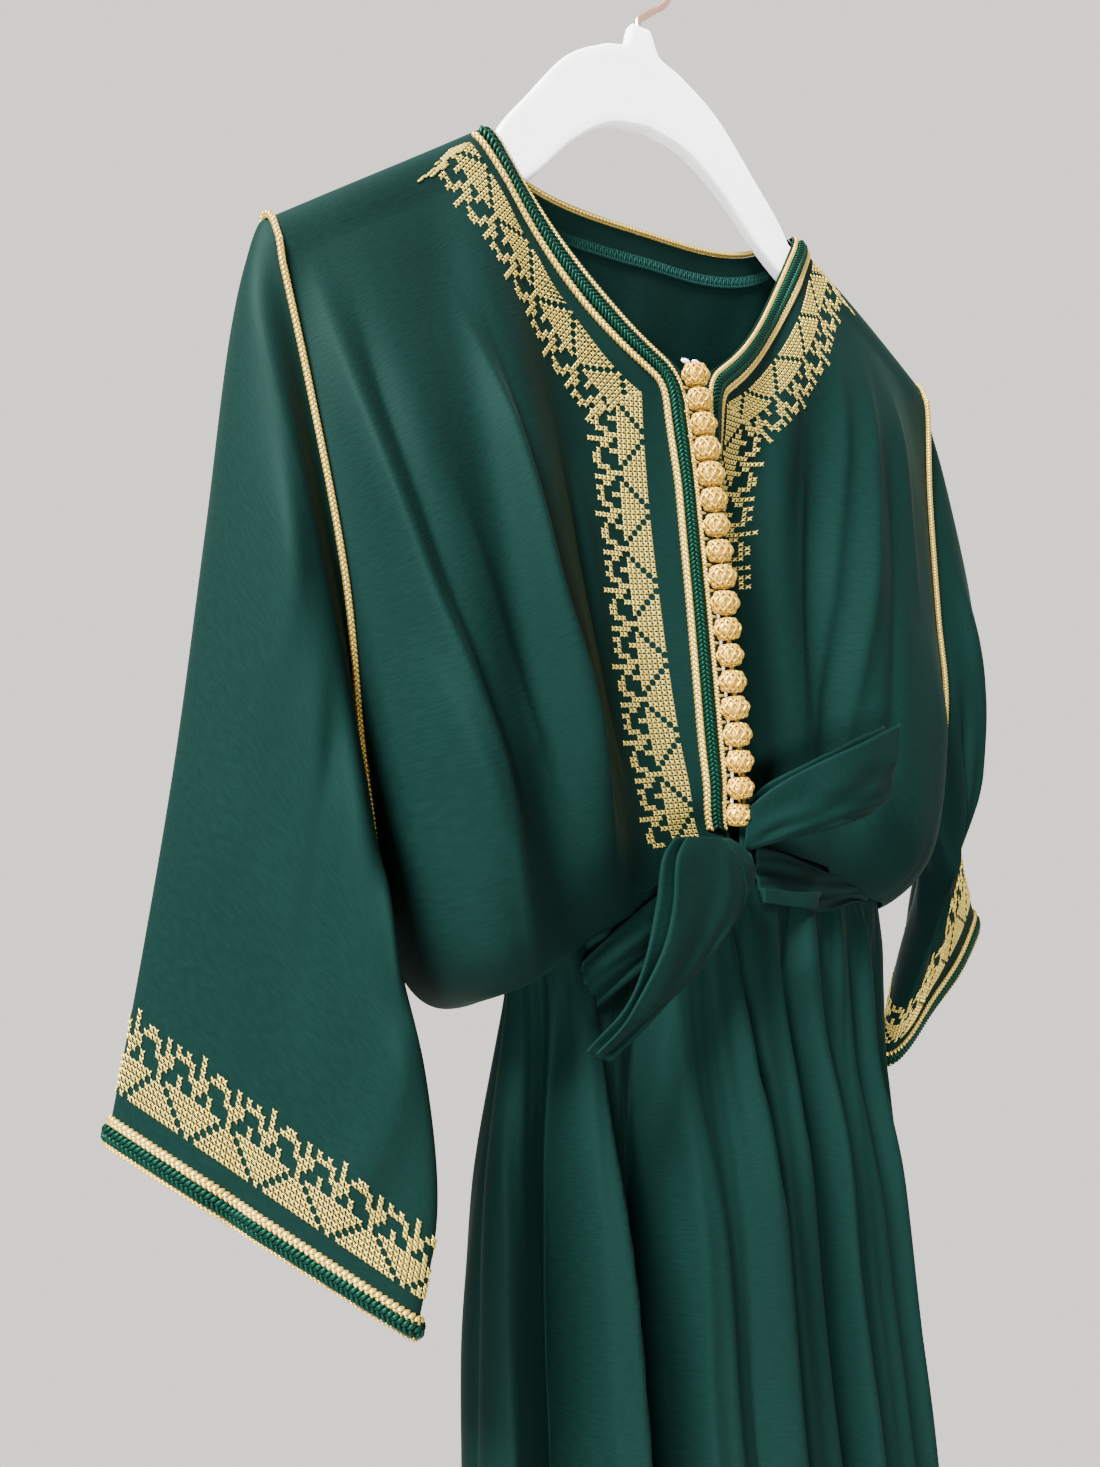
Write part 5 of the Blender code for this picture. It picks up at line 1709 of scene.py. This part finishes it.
class KAFTAN_OT_hanger(PieceOperator):
    """Build the flocked hanger and its plated hook."""

    bl_idname = "kaftan.hanger"
    bl_label = "Hanger"

    def execute(self, context):
        neck = list(HANGER_TOP)[-1]

        def face(u, v):
            x = HANGER_END * abs(2.0 * u - 1.0) ** HANGER_CROWDING
            bottom = read(HANGER_BOTTOM, x)
            if x > neck:
                near = clamp(1.0 - (x - neck) / HANGER_EASE)
                top = shoulder_line(x) - HANGER_CLEARANCE - HANGER_DIP * near
            else:
                top = read(HANGER_TOP, x)
            height = NECK_HEIGHT + bottom + (top - bottom) * v
            return Vector((math.copysign(x, u - 0.5), 0.0, height))

        body = grid_mesh(face, HANGER_GRID)
        body = shown("flocked_hanger", body, "flock", ("hanger_body",), HANGER_THICKNESS)
        rounding = body.modifiers.new("rounding", "BEVEL")
        rounding.width = HANGER_ROUNDING
        rounding.segments = ROUNDING_SEGMENTS
        rounding.limit_method = "ANGLE"
        rounding.angle_limit = math.radians(60)
        stem = NECK_HEIGHT + HANGER_NUB_TOP
        points = [UP * (stem - HOOK_SUNK), UP * (stem + HOOK_STEM)]
        first, last = HOOK_ARC
        for k in range(HOOK_STEPS + 1):
            angle = math.radians(first + (last - first) * k / HOOK_STEPS)
            place = SIDE * math.cos(angle) + UP * math.sin(angle)
            points.append(place * (HOOK_INNER_RADIUS + HOOK_WIRE) - UP * HOOK_INNER_RADIUS)
        rail = Rail(points, [OUT] * len(points))
        wire = core(rail, HOOK_WIRE, HOOK_WIRE, sides=WIRE_SIDES, step=WIRE_STEP)
        shown("plated_hook", wire, "metal", ("hanger_hook",))
        return {"FINISHED"}


class KAFTAN_OT_stage(PieceOperator):
    """Set the camera, the soft light and the plain pale floor."""

    bl_idname = "kaftan.stage"
    bl_label = "Stage"

    def execute(self, context):
        scene = context.scene
        yaw, pitch, roll = (math.radians(angle) for angle in CAMERA_TURN)
        level = Vector((math.cos(yaw), -math.sin(yaw), 0.0))
        ahead = Vector((math.sin(yaw), math.cos(yaw), 0.0)) * math.cos(pitch) + UP * math.sin(pitch)
        rise = level.cross(ahead)
        right = level * math.cos(roll) + rise * math.sin(roll)
        up = rise * math.cos(roll) - level * math.sin(roll)
        data = bpy.data.cameras.new("camera")
        data.sensor_fit = "VERTICAL"
        data.sensor_height = SENSOR_HEIGHT
        data.lens = LENS
        data.clip_start = 0.01
        camera = bpy.data.objects.new("camera", data)
        camera.matrix_world = Matrix((right, up, -ahead)).transposed().to_4x4()
        camera.location = CAMERA_PLACE
        scene.collection.objects.link(camera)
        scene.camera = camera
        world = bpy.data.worlds.new("soft_room")
        world.use_nodes = True
        backdrop = world.node_tree.nodes["Background"]
        backdrop.inputs["Color"].default_value = ROOM_COLOUR
        backdrop.inputs["Strength"].default_value = ROOM_STRENGTH
        scene.world = world
        for name, place, aim, size, power in LAMPS:
            data = bpy.data.lights.new(name, "AREA")
            data.size = size
            data.energy = power
            lamp = bpy.data.objects.new(name, data)
            lamp.location = place
            lamp.rotation_euler = (Vector(aim) - Vector(place)).to_track_quat("-Z", "Y").to_euler()
            scene.collection.objects.link(lamp)
        bm = bmesh.new()
        bmesh.ops.create_grid(bm, x_segments=1, y_segments=1, size=FLOOR_HALF_SIZE)
        bmesh.ops.translate(bm, verts=bm.verts, vec=UP * FLOOR_HEIGHT)
        floor = bpy.data.objects.new("floor", mesh_of(bm))
        floor.data.materials.append(painted(FLOOR_COLOUR, 0.9))
        scene.collection.objects.link(floor)
        return {"FINISHED"}


class KAFTAN_PT_pieces(bpy.types.Panel):
    """The kaftan's pieces, in the order in which they are built."""

    bl_idname = "KAFTAN_PT_pieces"
    bl_label = "Moroccan kaftan"
    bl_space_type = "VIEW_3D"
    bl_region_type = "UI"
    bl_category = "Kaftan"

    def draw(self, context):
        for name in KaftanLook.__annotations__:
            self.layout.prop(context.scene.kaftan_look, name)
        for piece in PIECES:
            self.layout.operator(piece.bl_idname)


PIECES = (
    KAFTAN_OT_stage,
    KAFTAN_OT_bodice,
    KAFTAN_OT_sleeves,
    KAFTAN_OT_skirt,
    KAFTAN_OT_belt,
    KAFTAN_OT_neck_trims,
    KAFTAN_OT_armhole_cords,
    KAFTAN_OT_cuff_trims,
    KAFTAN_OT_embroidery,
    KAFTAN_OT_buttons,
    KAFTAN_OT_hanger,
)
CLASSES = (KaftanLook, *PIECES, KAFTAN_PT_pieces)
SLEEVES = {side: sleeve(side) for side, _ in SIDES}
TREES = {}                      # finds places on each front and on the back


def register():
    for kind in CLASSES:
        bpy.utils.register_class(kind)
    bpy.types.Scene.kaftan_look = PointerProperty(type=KaftanLook)


def unregister():
    del bpy.types.Scene.kaftan_look
    for kind in reversed(CLASSES):
        bpy.utils.unregister_class(kind)


def main():
    register()
    for piece in PIECES:
        group, name = piece.bl_idname.split(".")
        getattr(getattr(bpy.ops, group), name)()


if __name__ == "__main__":
    main()
